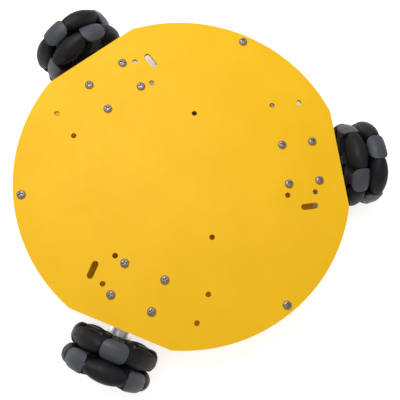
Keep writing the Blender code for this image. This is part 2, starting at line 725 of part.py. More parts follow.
clear_scene()
PARTS = collection("Omni robot")
WORKSHOP = collection("Workshop")
add_chassis()
add_electronics()
add_drives()
add_wheels()
bpy.data.collections.remove(WORKSHOP)
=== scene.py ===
"""Looks of the three-wheeled omni robot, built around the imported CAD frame.

Metres, +Z up, in the CAD's frame: the origin is the middle of the deck's top face, and the
front wheel's axle runs along +X. Pieces that repeat at the three wheel stations are built once
about their own axis and placed by the joints of the frame.
"""
import json
from math import acos, asin, atan2, cos, pi, radians, sin, sqrt, tau

import bmesh
import bpy
from mathutils import Matrix, Vector


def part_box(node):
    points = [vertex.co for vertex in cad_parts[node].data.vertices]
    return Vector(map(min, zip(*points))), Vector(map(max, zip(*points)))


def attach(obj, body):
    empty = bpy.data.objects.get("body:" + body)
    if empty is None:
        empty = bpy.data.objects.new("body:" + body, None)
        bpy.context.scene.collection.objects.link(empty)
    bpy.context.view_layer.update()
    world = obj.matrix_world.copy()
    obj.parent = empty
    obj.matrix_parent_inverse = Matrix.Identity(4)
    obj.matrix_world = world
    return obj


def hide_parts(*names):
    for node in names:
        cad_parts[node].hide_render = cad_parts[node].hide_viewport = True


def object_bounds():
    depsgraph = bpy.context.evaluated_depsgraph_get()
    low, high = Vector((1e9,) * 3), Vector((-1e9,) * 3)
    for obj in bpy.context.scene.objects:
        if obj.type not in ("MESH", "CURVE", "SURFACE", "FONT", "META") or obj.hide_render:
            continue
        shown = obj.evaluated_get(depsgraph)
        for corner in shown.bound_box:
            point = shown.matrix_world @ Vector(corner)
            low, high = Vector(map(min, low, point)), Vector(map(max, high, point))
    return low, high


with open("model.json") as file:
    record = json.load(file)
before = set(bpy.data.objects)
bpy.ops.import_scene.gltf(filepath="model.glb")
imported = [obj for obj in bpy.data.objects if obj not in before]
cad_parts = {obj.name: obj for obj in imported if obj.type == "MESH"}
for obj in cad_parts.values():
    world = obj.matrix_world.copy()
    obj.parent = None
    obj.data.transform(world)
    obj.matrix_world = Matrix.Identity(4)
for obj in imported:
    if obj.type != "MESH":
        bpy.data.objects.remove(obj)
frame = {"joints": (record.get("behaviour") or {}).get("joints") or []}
CAD_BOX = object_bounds()

MM = 0.001


def mm(*values):
    return tuple(value * MM for value in values)


SLIVER = 0.001 * MM
STATIONS = ("front", "rear_left", "rear_right")
JOINTS = {joint["child"]: joint for joint in frame["joints"]}
SCENE = bpy.context.scene
STATION_STEP = radians(120)
LOBE_ANGLE = radians(60)

# Deck: U runs out along a station's axle, V across it
DECK_LOW, DECK_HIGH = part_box("deck")
DECK_RADIUS, FLAT_U = DECK_HIGH.y, DECK_HIGH.x
BRACKET_SCREW_V = 13.2 * MM
BRACKET_SCREWS = [(u, side * BRACKET_SCREW_V) for u in mm(65.3, 85.6) for side in (-1, 1)]
SPARE_HOLES = [(u, v) for u in mm(63.3, 81.6) for v in mm(-20.4, 41)]
SLOT_U, SLOT_V = mm(76.2, -29.3)
SLOT_LENGTH, SLOT_WIDTH = mm(11.3, 4)
CENTRE_HOLE_U, CENTRE_HOLE_V = mm(11.1, 41)
EDGE_SCREW_RADIUS = 101.95 * MM
HOLE_RADIUS = 1.75 * MM
PLATE_EDGE = 0.22 * MM

# Wheel: one row is a hub with four blocks, its pins and its rollers
AXLE = Vector(JOINTS["front_wheel"]["pos_m"])
ROLLER_HALF = 13 * MM
PIN_CIRCLE = 22.65 * MM  # from the wheel's axis to a roller's
WHEEL_RADIUS = PIN_CIRCLE + 6.4 * MM
PIN_RADIUS, CORE_RADIUS = mm(1.2, 2.3)
HUB_HALF = (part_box("front_inner_hub")[1].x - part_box("front_inner_hub")[0].x) / 2
BLOCK_RADIUS, BLOCK_SHOULDER, BLOCK_CORNER = mm(28.4, 25.8, 2.8)
# radii over which the hub's colour turns from near-black, painted shade, to grey, painted light on the
# block crests
CREST_LIGHT_RADII = mm(23.6, 26)
HEX_HALF_FLATS = 4.5 * MM
ROW_PITCH = 13 * MM

# Tray and what stands on it
TRAY_BOTTOM, TRAY_TOP = (corner.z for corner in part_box("lower_tray"))
FLOOR = CAD_BOX[0][2]
FLOOR_RADIUS = 8.0
CABLE_HOLE_RADIUS = 10 * MM
BOARD_ANGLE, BATTERY_ANGLE, FREE_ANGLE = (LOBE_ANGLE + i * STATION_STEP for i in range(3))
BATTERY_REACH = 61.5 * MM
HOLDER_SIZE = mm(40.6, 77, 15)
CELL_RADIUS, CELL_LENGTH, CELL_SPACING = mm(9.2, 65, 19.6)
CELL_AXIS = sum(corner.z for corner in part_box("inner_battery_cell")) / 2
BOARD_REACH = 65 * MM
BOARD_SIZE = mm(53.3, 68.6)
BOARD_RAISE, BOARD_THICKNESS = mm(6, 1.6)
POST_INSET = 3.5 * MM
STANDOFF_HALF_FLATS = 2.75 * MM

# Drive, as distances out along the axle
PLATE_U = mm(94, 96)
CAN_U = mm(41.4, 72.7)
COUPLING_U = mm(98.8, 107.3)
SHAFT_U = mm(87, 109.5)
SPIGOT_END_U, GRUB_U, WHEEL_U = mm(132.5, 101.3, 120.8)
BRACKET_INNER_U, BRACKET_HALF, BRACKET_THICKNESS = mm(60, 17.5, 2)
BRACKET_BOTTOM, BEND_RADIUS = mm(-36.5, 3)
GEARBOX_RADIUS, CAN_RADIUS, FLANGE_RADIUS = mm(12.5, 12.2, 7.5)
BOSS_RADIUS, BOSS_LENGTH = mm(3.5, 2.5)
FACE_SCREW_OFFSET = 8.5 * MM
SHAFT_RADIUS, SHAFT_FLAT = mm(2, 1.5)
ENCODER_RADIUS, MAGNET_RADIUS, MAGNET_LENGTH = mm(12, 6, 6)
TAB_OFFSET = 9.3 * MM
M3, HEAD_RADIUS, HEAD_HEIGHT = mm(1.5, 2.8, 1.8)
SCREW_TWISTS = ((0.3, 1.2, 2.0, 0.8), (1.0, 0.1, 0.6, 1.7), (0.5, 1.5, 0.9, 0.2))

# The view: where the camera stands, where it looks and which way is up
CAMERA_PLACE = Vector((-25.9, -76.5, 308.1)) * MM
CAMERA_AIM = Vector((0.1038, 0.1895, -0.9764))
CAMERA_UP = Vector((0.1190, 0.9723, 0.2014))
CAMERA_LENS = 45.07


# Working objects and modifiers

def linked(data, name="temporary"):
    """A new object in the scene."""
    obj = bpy.data.objects.new(name, data)
    SCENE.collection.objects.link(obj)
    return obj


def baked(obj):
    """The evaluated mesh of a working object, which is removed."""
    bpy.context.view_layer.update()
    shown = obj.evaluated_get(bpy.context.evaluated_depsgraph_get())
    mesh = bpy.data.meshes.new_from_object(shown)
    bpy.data.objects.remove(obj, do_unlink=True)
    return mesh


def modified(mesh, kind, **settings):
    """The mesh with one modifier applied."""
    obj = linked(mesh)
    modifier = obj.modifiers.new(kind, kind)
    for name, value in settings.items():
        setattr(modifier, name, value)
    return baked(obj)


def cleaned(mesh, gap=SLIVER):
    """The mesh without the doubled points and slivers that cuts and bevels leave."""
    bm = bmesh.new()
    bm.from_mesh(mesh)
    bmesh.ops.remove_doubles(bm, verts=bm.verts, dist=gap)
    bmesh.ops.dissolve_degenerate(bm, edges=bm.edges, dist=gap)
    bm.to_mesh(mesh)
    bm.free()
    return mesh


def smooth(mesh, angle=32):
    cleaned(mesh)
    mesh.shade_smooth()
    mesh.set_sharp_from_angle(angle=radians(angle))
    return mesh


def weighted(mesh):
    """The mesh with its large faces shading flat beside their rounded edges."""
    return modified(mesh, "WEIGHTED_NORMAL", keep_sharp=True, weight=100)


def bevelled(mesh, width, segments=2, angle=35):
    return modified(mesh, "BEVEL", width=width, segments=segments, limit_method="ANGLE",
                    angle_limit=radians(angle))


def boolean(mesh, tools, operation="DIFFERENCE"):
    obj = linked(mesh)
    held = [linked(tool) for tool in tools]
    for tool in held:
        modifier = obj.modifiers.new("Boolean", "BOOLEAN")
        modifier.operation = operation
        modifier.solver = "EXACT"
        modifier.object = tool
    result = baked(obj)
    for tool in held:
        bpy.data.objects.remove(tool, do_unlink=True)
    return result


def machined(body, tools, edge=0.0, angle=35):
    """The body with the tools cut from it and, if edge is given, its edges broken."""
    mesh = boolean(body, tools)
    if edge:
        mesh = bevelled(mesh, edge, angle=angle)
    return weighted(smooth(mesh))


def moved(mesh, matrix):
    mesh.transform(matrix)
    return mesh


def gathered(meshes):
    """Separate closed shapes as one mesh."""
    bm = bmesh.new()
    for mesh in meshes:
        bm.from_mesh(mesh)
    return from_bmesh(bm)


def from_bmesh(bm):
    mesh = bpy.data.meshes.new("shape")
    bm.to_mesh(mesh)
    bm.free()
    return mesh


def shift(x=0.0, y=0.0, z=0.0):
    return Matrix.Translation((x, y, z))


def turn(angle, axis="Z"):
    return Matrix.Rotation(angle, 4, axis)


OVER = turn(pi, "X")
Z_ALONG_X = turn(pi / 2, "Y")
Y_UPRIGHT = turn(pi / 2, "X")


def turned(points, angle):
    return [(x * cos(angle) - y * sin(angle), x * sin(angle) + y * cos(angle)) for x, y in points]


def around(x, y, *steps):
    """The points that lie these steps from (x, y); the steps are in millimetres."""
    return [(x + across * MM, y + up * MM) for across, up in steps]


# Shapes

def eased(points, radius, closed=True, steps=3):
    """The outline with each corner replaced by a short curve."""
    count = len(points)
    result = []
    for i, point in enumerate(points):
        corner = Vector(point)
        if not closed and i in (0, count - 1):
            result.append(tuple(corner))
            continue
        before = Vector(points[i - 1]) - corner
        after = Vector(points[(i + 1) % count]) - corner
        reach = min(radius, before.length * 0.45, after.length * 0.45)
        start = corner + before.normalized() * reach
        end = corner + after.normalized() * reach
        for k in range(steps + 1):
            t = k / steps
            spot = start * (1 - t) ** 2 + corner * 2 * t * (1 - t) + end * t**2
            result.append(tuple(spot))
    return result


def lathe(profile, steps=48, ring=False, ease=0.0):
    """A solid of revolution about Z. The profile is (radius, height), down the outer side."""
    if ease:
        profile = eased(profile, ease, closed=ring)
    count = len(profile)
    edges = [(i, (i + 1) % count) for i in range(count if ring else count - 1)]
    mesh = bpy.data.meshes.new("profile")
    mesh.from_pydata([(radius, 0.0, height) for radius, height in profile], edges, [])
    return smooth(modified(mesh, "SCREW", steps=steps, render_steps=steps,
                           use_merge_vertices=True, merge_threshold=1e-6))


def collar(inner, outer, top, bottom, steps, ease=0.0):
    """A plain ring about Z, or a rod where inner is 0."""
    profile = [(inner, top), (outer, top), (outer, bottom), (inner, bottom)]
    return lathe(profile, steps, inner > 0, ease)


def slab(outline, bottom, top):
    """A flat outline in X and Y, given a thickness."""
    bm = bmesh.new()
    lower = [bm.verts.new((x, y, bottom)) for x, y in outline]
    face = bm.faces.new(lower)
    upper = bmesh.ops.extrude_face_region(bm, geom=[face])["geom"]
    verts = [v for v in upper if isinstance(v, bmesh.types.BMVert)]
    bmesh.ops.translate(bm, vec=(0, 0, top - bottom), verts=verts)
    bmesh.ops.recalc_face_normals(bm, faces=bm.faces)
    return from_bmesh(bm)


def bar(radius, bottom, top, x=0.0, y=0.0, sides=32):
    bm = bmesh.new()
    bmesh.ops.create_cone(
        bm, cap_ends=True, segments=sides, radius1=radius, radius2=radius, depth=top - bottom,
        matrix=shift(x, y, (top + bottom) / 2),
    )
    return from_bmesh(bm)


def hex_bar(half_flats, bottom, top, ease=0.0):
    """A hexagonal bar, with its edges rounded if ease is given."""
    mesh = bar(half_flats / cos(pi / 6), bottom, top, sides=6)
    return bevelled(mesh, ease, angle=50) if ease else mesh


def block(size, centre, ease=0.0):
    """A box, with its edges rounded if ease is given."""
    bm = bmesh.new()
    bmesh.ops.create_cube(bm, size=1.0, matrix=shift(*centre) @ Matrix.Diagonal((*size, 1.0)))
    mesh = from_bmesh(bm)
    return bevelled(mesh, ease) if ease else mesh


def standing(size, ease=0.0):
    """A box that stands on the middle of Z."""
    return block(size, (0, 0, size[2] / 2), ease)


def arc(x, y, radius, start, end, steps):
    angles = [start + (end - start) * i / steps for i in range(steps + 1)]
    return [(x + radius * cos(a), y + radius * sin(a)) for a in angles]


def tube(points, radius):
    """A round wire along the points."""
    curve = bpy.data.curves.new("wire", "CURVE")
    curve.dimensions = "3D"
    curve.bevel_depth = radius
    curve.bevel_resolution = 3
    curve.use_fill_caps = True
    spline = curve.splines.new("POLY")
    spline.points.add(len(points) - 1)
    for point, place in zip(spline.points, points):
        point.co = (*place, 1.0)
    return smooth(baked(linked(curve)), 50)


# Materials

class Nodes:
    """A material's node tree around its Principled shader."""

    def __init__(self, name, roughness, metallic=0, **values):
        self.material = bpy.data.materials.new(name)
        self.material.use_nodes = True
        self.tree = self.material.node_tree
        self.shader = self.tree.nodes["Principled BSDF"]
        for socket, value in {"Roughness": roughness, "Metallic": metallic, **values}.items():
            self.shader.inputs[socket.replace("_", " ")].default_value = value
        self.own_place = self.node("TexCoord", "Object", {})

    def link(self, output, socket):
        self.tree.links.new(output, socket)

    def node(self, kind, output, inputs, **settings):
        """A new node's output. Each of its inputs is a value or another node's output."""
        made = self.tree.nodes.new(f"ShaderNode{kind}")
        for name, value in settings.items():
            setattr(made, name, value)
        for socket, value in inputs.items():
            if isinstance(value, bpy.types.NodeSocket):
                self.link(value, made.inputs[socket])
            else:
                made.inputs[socket].default_value = value
        return made.outputs[output]

    def mapped(self, scale=(1, 1, 1), place=(0, 0, 0)):
        """The object's own coordinates from a place, with each side scaled."""
        start = tuple(-c for c in place)
        inputs = {"Vector": self.own_place, "Location": start, "Scale": scale}
        return self.node("Mapping", "Vector", inputs)

    def noise(self, scale, detail=3.0, stretch=(1, 1, 1)):
        inputs = {"Vector": self.mapped(stretch), "Scale": scale, "Detail": detail}
        return self.node("TexNoise", "Fac", inputs)

    def cells(self, scale, feature="F1", stretch=(1, 1, 1)):
        inputs = {"Vector": self.mapped(stretch), "Scale": scale}
        return self.node("TexVoronoi", "Distance", inputs, feature=feature)

    def between(self, value, low, high, start=0, end=1):
        """Low to high, as the value goes from start to end."""
        limits = {"From Min": start, "From Max": end, "To Min": low, "To Max": high}
        return self.node("MapRange", "Result", {"Value": value, **limits})

    def distance(self, *mapping):
        return self.node("VectorMath", "Value", {0: self.mapped(*mapping)}, operation="LENGTH")

    def colour(self, value, low, high, start=0.35, end=0.65):
        """Base colour from low to high, as the value goes from start to end."""
        ramp = self.node("ValToRGB", "Color", {"Fac": value})
        for stop, place, colour in zip(ramp.node.color_ramp.elements, (start, end), (low, high)):
            stop.position = place
            stop.color = (*colour, 1)
        self.link(ramp, self.shader.inputs["Base Color"])

    def roughness(self, value, low, high, start=0.3, end=0.7):
        self.link(self.between(value, low, high, start, end), self.shader.inputs["Roughness"])

    def bump(self, height, strength, distance):
        """Bumps, on top of those that the shader has."""
        normal = self.shader.inputs["Normal"]
        inputs = {"Height": height, "Strength": strength, "Distance": distance}
        if normal.is_linked:
            inputs["Normal"] = normal.links[0].from_socket
        self.link(self.node("Bump", "Normal", inputs), normal)


def powder_coat():
    """Sprayed yellow: an orange-peel skin and faint mottling."""
    n = Nodes("yellow_powder_coat", 0.45, Specular_IOR_Level=0.12)
    n.colour(n.noise(28, 4), (0.88, 0.492, 0.01), (0.91, 0.517, 0.013))
    n.roughness(n.noise(180, 2), 0.4, 0.52)
    n.bump(n.noise(900, 2), 0.16, 0.0001)
    n.bump(n.noise(2600, 2), 0.1, 0.00004)
    return n.material


def rubber():
    """Moulded black rubber with a dusty bloom and a fine pebbled skin."""
    n = Nodes("roller_rubber", 0.6, Specular_IOR_Level=0.28)
    n.colour(n.noise(150, 5), (0.0052, 0.0054, 0.0068), (0.0115, 0.0118, 0.014))
    n.roughness(n.noise(420, 3), 0.46, 0.66)
    n.bump(n.cells(2300), 0.22, 0.00006)
    return n.material


def hub_plastic():
    """Near-black moulded nylon with a matt skin, lighter grey in patches on the blocks' crests:
    painted light on the crests and painted shade, near-black, nearer the axis in the pockets.
    """
    n = Nodes("hub_plastic", 0.5, Specular_IOR_Level=0.4)
    # painted light: grey on the crests far from the axis; painted shade: near-black in the pockets and
    # between the rows
    crest_light = n.between(n.distance((1, 1, 0)), 0, 1, *CREST_LIGHT_RADII)
    patches = n.between(n.noise(90, 4, (1, 1, 3.0)), 0.78, 1)
    patchy_crest_light = n.node("Math", "Value", {0: crest_light, 1: patches}, operation="MULTIPLY")
    n.colour(patchy_crest_light, (0.012, 0.013, 0.015), (0.06, 0.068, 0.077), 0, 1)
    n.roughness(n.noise(300, 3), 0.42, 0.58)
    n.bump(n.noise(2800, 3), 0.2, 0.00005)
    return n.material


def brushed(name, stretch, low, high, colour=(0.78, 0.79, 0.81)):
    """Bare aluminium with scratches along one direction."""
    n = Nodes(name, 0.3, 1)
    grain = n.noise(900, 4, stretch)
    n.colour(grain, tuple(c * 0.86 for c in colour), colour)
    n.roughness(grain, low, high)
    n.bump(grain, 0.12, 0.00003)
    return n.material


def bright_steel(name, colour, low, high):
    """Plated steel with a slight cloudiness and fine handling marks."""
    n = Nodes(name, 0.25, 1)
    n.colour(n.noise(260, 4), tuple(c * 0.8 for c in colour), colour)
    n.roughness(n.noise(700, 4), low, high)
    n.bump(n.noise(1900, 3), 0.06, 0.00003)
    return n.material


def moulded(name, low, high, roughness=(0.38, 0.52), grain=2400):
    """Moulded plastic of the colours low to high, with a fine texture."""
    n = Nodes(name, 0.45)
    n.colour(n.noise(140, 4), low, high)
    n.roughness(n.noise(380, 3), *roughness)
    n.bump(n.noise(grain, 2), 0.14, 0.00004)
    return n.material


def circuit_board(name, mask, track):
    """Solder mask over copper: lighter tracks and pads show through a glossy skin."""
    n = Nodes(name, 0.3, Coat_Weight=0.3, Coat_Roughness=0.15)
    across = n.cells(420, "DISTANCE_TO_EDGE", (1, 0.35, 1))
    n.colour(across, track, mask, 0.05, 0.09)
    n.roughness(n.noise(500, 2), 0.24, 0.36)
    n.bump(n.between(across, 1, 0, 0.04, 0.1), 0.25, 0.00004)
    return n.material


def cell_wrap():
    """Shrunk plastic sleeve with faint wrinkles around the cell."""
    n = Nodes("cell_wrap", 0.32, Coat_Weight=0.4, Coat_Roughness=0.12)
    n.colour(n.noise(60, 3), (0.035, 0.16, 0.46), (0.05, 0.2, 0.55))
    wrinkle = n.noise(120, 3, (1, 1, 5.0))
    n.roughness(wrinkle, 0.24, 0.38)
    n.bump(wrinkle, 0.1, 0.0001)
    return n.material


def pale_floor():
    """White paper that glows a little more with the distance from the robot."""
    n = Nodes("pale_floor", 0.9, Emission_Color=(1, 1, 1, 1))
    n.colour(n.noise(3, 3), (0.8, 0.77, 0.75), (0.82, 0.79, 0.77))
    away = n.distance((1, 1, 1), (4 * MM, 13 * MM, FLOOR))
    # painted glow: none within 0.105 m of a point near the robot's middle, full by 0.118 m, washing
    # out the robot's shadow beyond and leaving the floor under the deck in shade
    n.link(n.between(away, 0, 0.68, 0.105, 0.118), n.shader.inputs["Emission Strength"])
    return n.material


# finish name: (material, the record's slot)
FINISHES = {
    "yellow": (powder_coat(), "deck_paint"),
    "rubber": (rubber(), "roller_rubber"),
    "hub": (hub_plastic(), "hub_plastic"),
    "core": (moulded("roller_core", (0.02, 0.02, 0.022), (0.03, 0.03, 0.032)), "black_plastic"),
    "sheet": (brushed("brushed_sheet", (1, 0.06, 1), 0.28, 0.42), "bare_aluminium"),
    "turned": (brushed("turned_aluminium", (1, 1, 12.0), 0.24, 0.36, (0.93, 0.93, 0.94)),
               "bare_aluminium"),
    "screw": (bright_steel("screw_steel", (0.46, 0.4, 0.36), 0.5, 0.62), "steel"),
    "shaft": (bright_steel("ground_steel", (0.6, 0.6, 0.61), 0.16, 0.26), "steel"),
    "gearbox": (bright_steel("gearbox_steel", (0.58, 0.57, 0.55), 0.28, 0.42), "steel"),
    "can": (bright_steel("plated_can", (0.66, 0.66, 0.67), 0.24, 0.36), "motor_case"),
    "black": (moulded("black_plastic", (0.01, 0.01, 0.011), (0.019, 0.019, 0.02)),
              "black_plastic"),
    "chip": (moulded("chip_epoxy", (0.012, 0.012, 0.013), (0.02, 0.02, 0.021), (0.5, 0.62), 5000),
             "black_plastic"),
    "white": (moulded("white_nylon", (0.7, 0.69, 0.64), (0.78, 0.77, 0.72)), "circuit_board"),
    "green": (moulded("terminal_green", (0.02, 0.2, 0.06), (0.03, 0.26, 0.08)), "circuit_board"),
    "tan": (moulded("ceramic_tan", (0.36, 0.25, 0.13), (0.46, 0.33, 0.18)), "circuit_board"),
    "blue_board": (circuit_board("blue_board", (0.01, 0.04, 0.13), (0.02, 0.08, 0.22)),
                   "circuit_board"),
    "green_board": (circuit_board("green_board", (0.006, 0.07, 0.03), (0.015, 0.13, 0.055)),
                    "circuit_board"),
    "brass": (bright_steel("gold_pins", (0.85, 0.62, 0.26), 0.22, 0.34), "steel"),
    "wrap": (cell_wrap(), "cell_wrap"),
}


# Pieces

def piece(name, mesh, finish, place=None, node=None, body="chassis"):
    """A shown piece that moves with the body and may stand for a CAD node."""
    material, slot = FINISHES[finish]
    obj = linked(mesh, name)
    if not mesh.materials:
        mesh.materials.append(material)
    obj.matrix_world = place or Matrix()
    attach(obj, body)
    if node:
        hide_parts(node)


def matrix_of(x_axis, z_axis, origin):
    """The place of a piece whose local X and Z point along these directions."""
    place = Matrix((x_axis, z_axis.cross(x_axis), z_axis)).transposed().to_4x4()
    place.translation = origin
    return place


def joint_axis(body):
    return Vector(JOINTS[body]["axis"]), Vector(JOINTS[body]["pos_m"])


def station_place(station):
    """Local Z out along the station's axle from the robot's middle, local X up."""
    out, centre = joint_axis(f"{station}_wheel")
    return matrix_of(Vector((0, 0, 1)), out, Vector((0, 0, centre.z)))


def station_turn(station):
    out, _ = joint_axis(f"{station}_wheel")
    return turn(atan2(out.y, out.x))


def spoke(station, row, number):
    """The direction from the wheel's axis to a roller's middle, and that middle."""
    out, centre = joint_axis(f"{station}_wheel")
    _, middle = joint_axis(f"{station}_{row}_roller_{number}")
    return (middle - centre - out * (middle - centre).dot(out)).normalized(), middle


def hub_place(station, row):
    """A hub row's place: its blocks lie on local X and Y, and local Z points outwards."""
    out, centre = joint_axis(f"{station}_wheel")
    direction, middle = spoke(station, row, 1)
    origin = centre + out * (middle - centre).dot(out)
    return matrix_of(direction, out, origin) @ turn(-pi / 4)


def roller_place(station, row, number):
    """A roller's place: local Z along its pin, local X away from the wheel's axis."""
    direction, middle = spoke(station, row, number)
    axis, _ = joint_axis(f"{station}_{row}_roller_{number}")
    return matrix_of(direction, axis, middle)


# Fasteners, with the seat of the head at height 0 and the head above it

def cross_recess(size, depth, top):
    """A tapered cross, to be cut into a screw's head."""
    wings = []
    for angle in (0, pi / 2):
        wing = block((size, size * 0.27, depth), (0, 0, top - depth / 2))
        for vertex in wing.vertices:
            if vertex.co.z < top - depth / 2:
                vertex.co.x *= 0.45
                vertex.co.y *= 0.8
        wings.append(moved(wing, turn(angle)))
    return boolean(wings[0], wings[1:], "UNION")


def pan_head(radius, height, shank, length, steps=40):
    """A pan-head screw with a cross recess and a rolled thread."""
    crown = ((0, 1), (0.45, 0.985), (0.72, 0.88), (0.92, 0.62), (1, 0.3), (1, 0.08), (0.96, 0))
    profile = [(radius * across, height * up) for across, up in crown] + [(shank, 0)]
    pitch = shank * 0.33
    turns = int(length / pitch)
    for i in range(turns):
        z = -pitch * i
        profile += [(shank, z - pitch * 0.15), (shank * 0.8, z - pitch * 0.6), (shank, z - pitch)]
    profile.append((0, -pitch * turns))
    recess = cross_recess(radius * 1.24, height * 0.8, height * 1.04)
    return machined(lathe(profile, steps), [recess])


def m3_screw(length, height=HEAD_HEIGHT):
    return pan_head(HEAD_RADIUS, height, M3 * 0.97, length)


def nut(half_flats, height, hole):
    """A hex nut with its corners turned off."""
    body = hex_bar(half_flats, -height, 0, height * 0.1)
    return machined(body, [bar(hole, -height * 1.5, height * 0.5, sides=24)])


# Deck, tray and standoffs

def edge_points():
    """The screws at the deck's edge, one on each free lobe."""
    angles = [i * STATION_STEP + LOBE_ANGLE for i in range(3)]
    return [turned([(EDGE_SCREW_RADIUS, 0)], angle)[0] for angle in angles]


def deck_points():
    """Every round hole of the deck."""
    points = [(CENTRE_HOLE_U, side * CENTRE_HOLE_V) for side in (-1, 1)]
    for i, edge in enumerate(edge_points()):
        points += turned(BRACKET_SCREWS + SPARE_HOLES, i * STATION_STEP) + [edge]
    return points


def deck_slot(angle):
    half = SLOT_LENGTH / 2 - SLOT_WIDTH / 2
    outline = arc(SLOT_U + half, SLOT_V, SLOT_WIDTH / 2, -pi / 2, pi / 2, 16)
    outline += arc(SLOT_U - half, SLOT_V, SLOT_WIDTH / 2, pi / 2, pi * 1.5, 16)
    return moved(slab(outline, DECK_LOW.z - MM, DECK_HIGH.z + MM), turn(angle))


def add_deck():
    """The round plate with its three flats, holes and slots; every edge is slightly broken."""
    half_flat = acos(FLAT_U / DECK_RADIUS)
    outline = []
    tools = [bar(HOLE_RADIUS, DECK_LOW.z - MM, DECK_HIGH.z + MM, x, y) for x, y in deck_points()]
    for i in range(3):
        start = i * STATION_STEP
        outline += arc(0, 0, DECK_RADIUS, start + half_flat, start + STATION_STEP - half_flat, 72)
        tools.append(deck_slot(start))
    plate = slab(outline, DECK_LOW.z, DECK_HIGH.z)
    piece("deck_plate", machined(plate, tools, PLATE_EDGE), "yellow", node="deck")


def tray_outline():
    """A round plate, notched at the wheels and cut back on both sides of the controller's lobe."""
    radius, notch, half_notch, waist = mm(106.5, 90.6, 30, 25)
    half, shoulder, tip_half, corner = mm(35.5, 92, 7, 6)
    lean = atan2(half - tip_half, radius - shoulder)
    swing = asin(half_notch / radius)
    waist_u = (half + waist * cos(LOBE_ANGLE)) / sin(LOBE_ANGLE)
    lobe = arc(shoulder - corner, corner - half, corner, -pi / 2, lean - pi / 2, 8)
    lobe += arc(radius - tip_half, 0, tip_half, lean - pi / 2, pi / 2 - lean, 12)
    lobe += arc(shoulder - corner, half - corner, corner, pi / 2 - lean, pi / 2, 8)
    outline = [(notch, -half_notch), (notch, waist), (waist_u, waist)]
    outline += turned(lobe, LOBE_ANGLE)
    outline += turned([(waist_u, -waist), (notch, -waist), (notch, half_notch)], STATION_STEP)
    outline += arc(0, 0, radius, STATION_STEP + swing, 2 * STATION_STEP - swing, 48)
    outline += turned([(notch, -half_notch), (notch, half_notch)], 2 * STATION_STEP)
    outline += arc(0, 0, radius, 2 * STATION_STEP + swing, 3 * STATION_STEP - swing, 48)
    return eased(outline, 2.5 * MM)


def battery_posts():
    return turned([(BATTERY_REACH, v) for v in mm(-24, 24)], BATTERY_ANGLE)


def board_corners():
    """The controller's four holes, from the board's middle."""
    out, side = (size / 2 - POST_INSET for size in BOARD_SIZE)
    return [(i * out, j * side) for i in (-1, 1) for j in (-1, 1)]


def controller_posts():
    return turned([(BOARD_REACH + x, y) for x, y in board_corners()], BOARD_ANGLE)


def under_tray(x, y, twist):
    """The place of a screw that comes up through the tray."""
    return shift(x, y, TRAY_BOTTOM) @ OVER @ turn(twist)


def add_tray():
    points = edge_points() + battery_posts() + controller_posts()
    points += turned([(x, y) for x in mm(45, 80) for y in mm(-25, 25)], FREE_ANGLE)
    tools = [bar(HOLE_RADIUS, TRAY_BOTTOM - MM, TRAY_TOP + MM, x, y) for x, y in points]
    tools.append(bar(CABLE_HOLE_RADIUS, TRAY_BOTTOM - MM, TRAY_TOP + MM, sides=72))
    plate = slab(tray_outline(), TRAY_BOTTOM, TRAY_TOP)
    piece("tray_plate", machined(plate, tools, PLATE_EDGE), "yellow", node="lower_tray")
    profile = around(CABLE_HOLE_RADIUS, TRAY_TOP, (-1.2, 0.8), (1.4, 0.8), (1.4, 0), (-0.05, 0))
    profile += around(CABLE_HOLE_RADIUS, TRAY_BOTTOM, (-0.05, 0), (1.4, 0), (1.4, -0.8), (-1.2, -0.8))
    piece("cable_grommet", lathe(profile, 64, ring=True, ease=0.3 * MM), "rubber")


def add_standoffs():
    """Hex standoffs on the deck's free lobes, each with a screw above and one below."""
    body = hex_bar(STANDOFF_HALF_FLATS, TRAY_TOP, DECK_LOW.z, 0.35 * MM)
    bores = [bar(M3, DECK_LOW.z - 9 * MM, DECK_LOW.z + MM), bar(M3, TRAY_TOP - MM, TRAY_TOP + 9 * MM)]
    body = machined(body, bores)
    screw = m3_screw(8 * MM)
    for i, (name, (x, y)) in enumerate(zip(("left", "rear", "right"), edge_points())):
        twist = 0.7 + 1.1 * i
        piece(f"{name}_standoff_bar", body, "sheet", shift(x, y), f"{name}_standoff")
        piece(f"{name}_edge_screw", screw, "screw", shift(x, y, DECK_HIGH.z) @ turn(twist))
        piece(f"{name}_foot_screw", screw, "screw", under_tray(x, y, twist))


# Motor drives, built along +X of a station; ALONG_U lays local Z on the axle's line, local X down

ALONG_U = shift(0, 0, AXLE.z) @ Z_ALONG_X


def add_parts(prefix, place, parts):
    """Pieces at one place: name, mesh, finish and, where the piece stands for a node, its name."""
    for name, mesh, finish, *node in parts:
        piece(f"{prefix}_{name}", mesh, finish, place, node and f"{prefix}_{node[0]}")


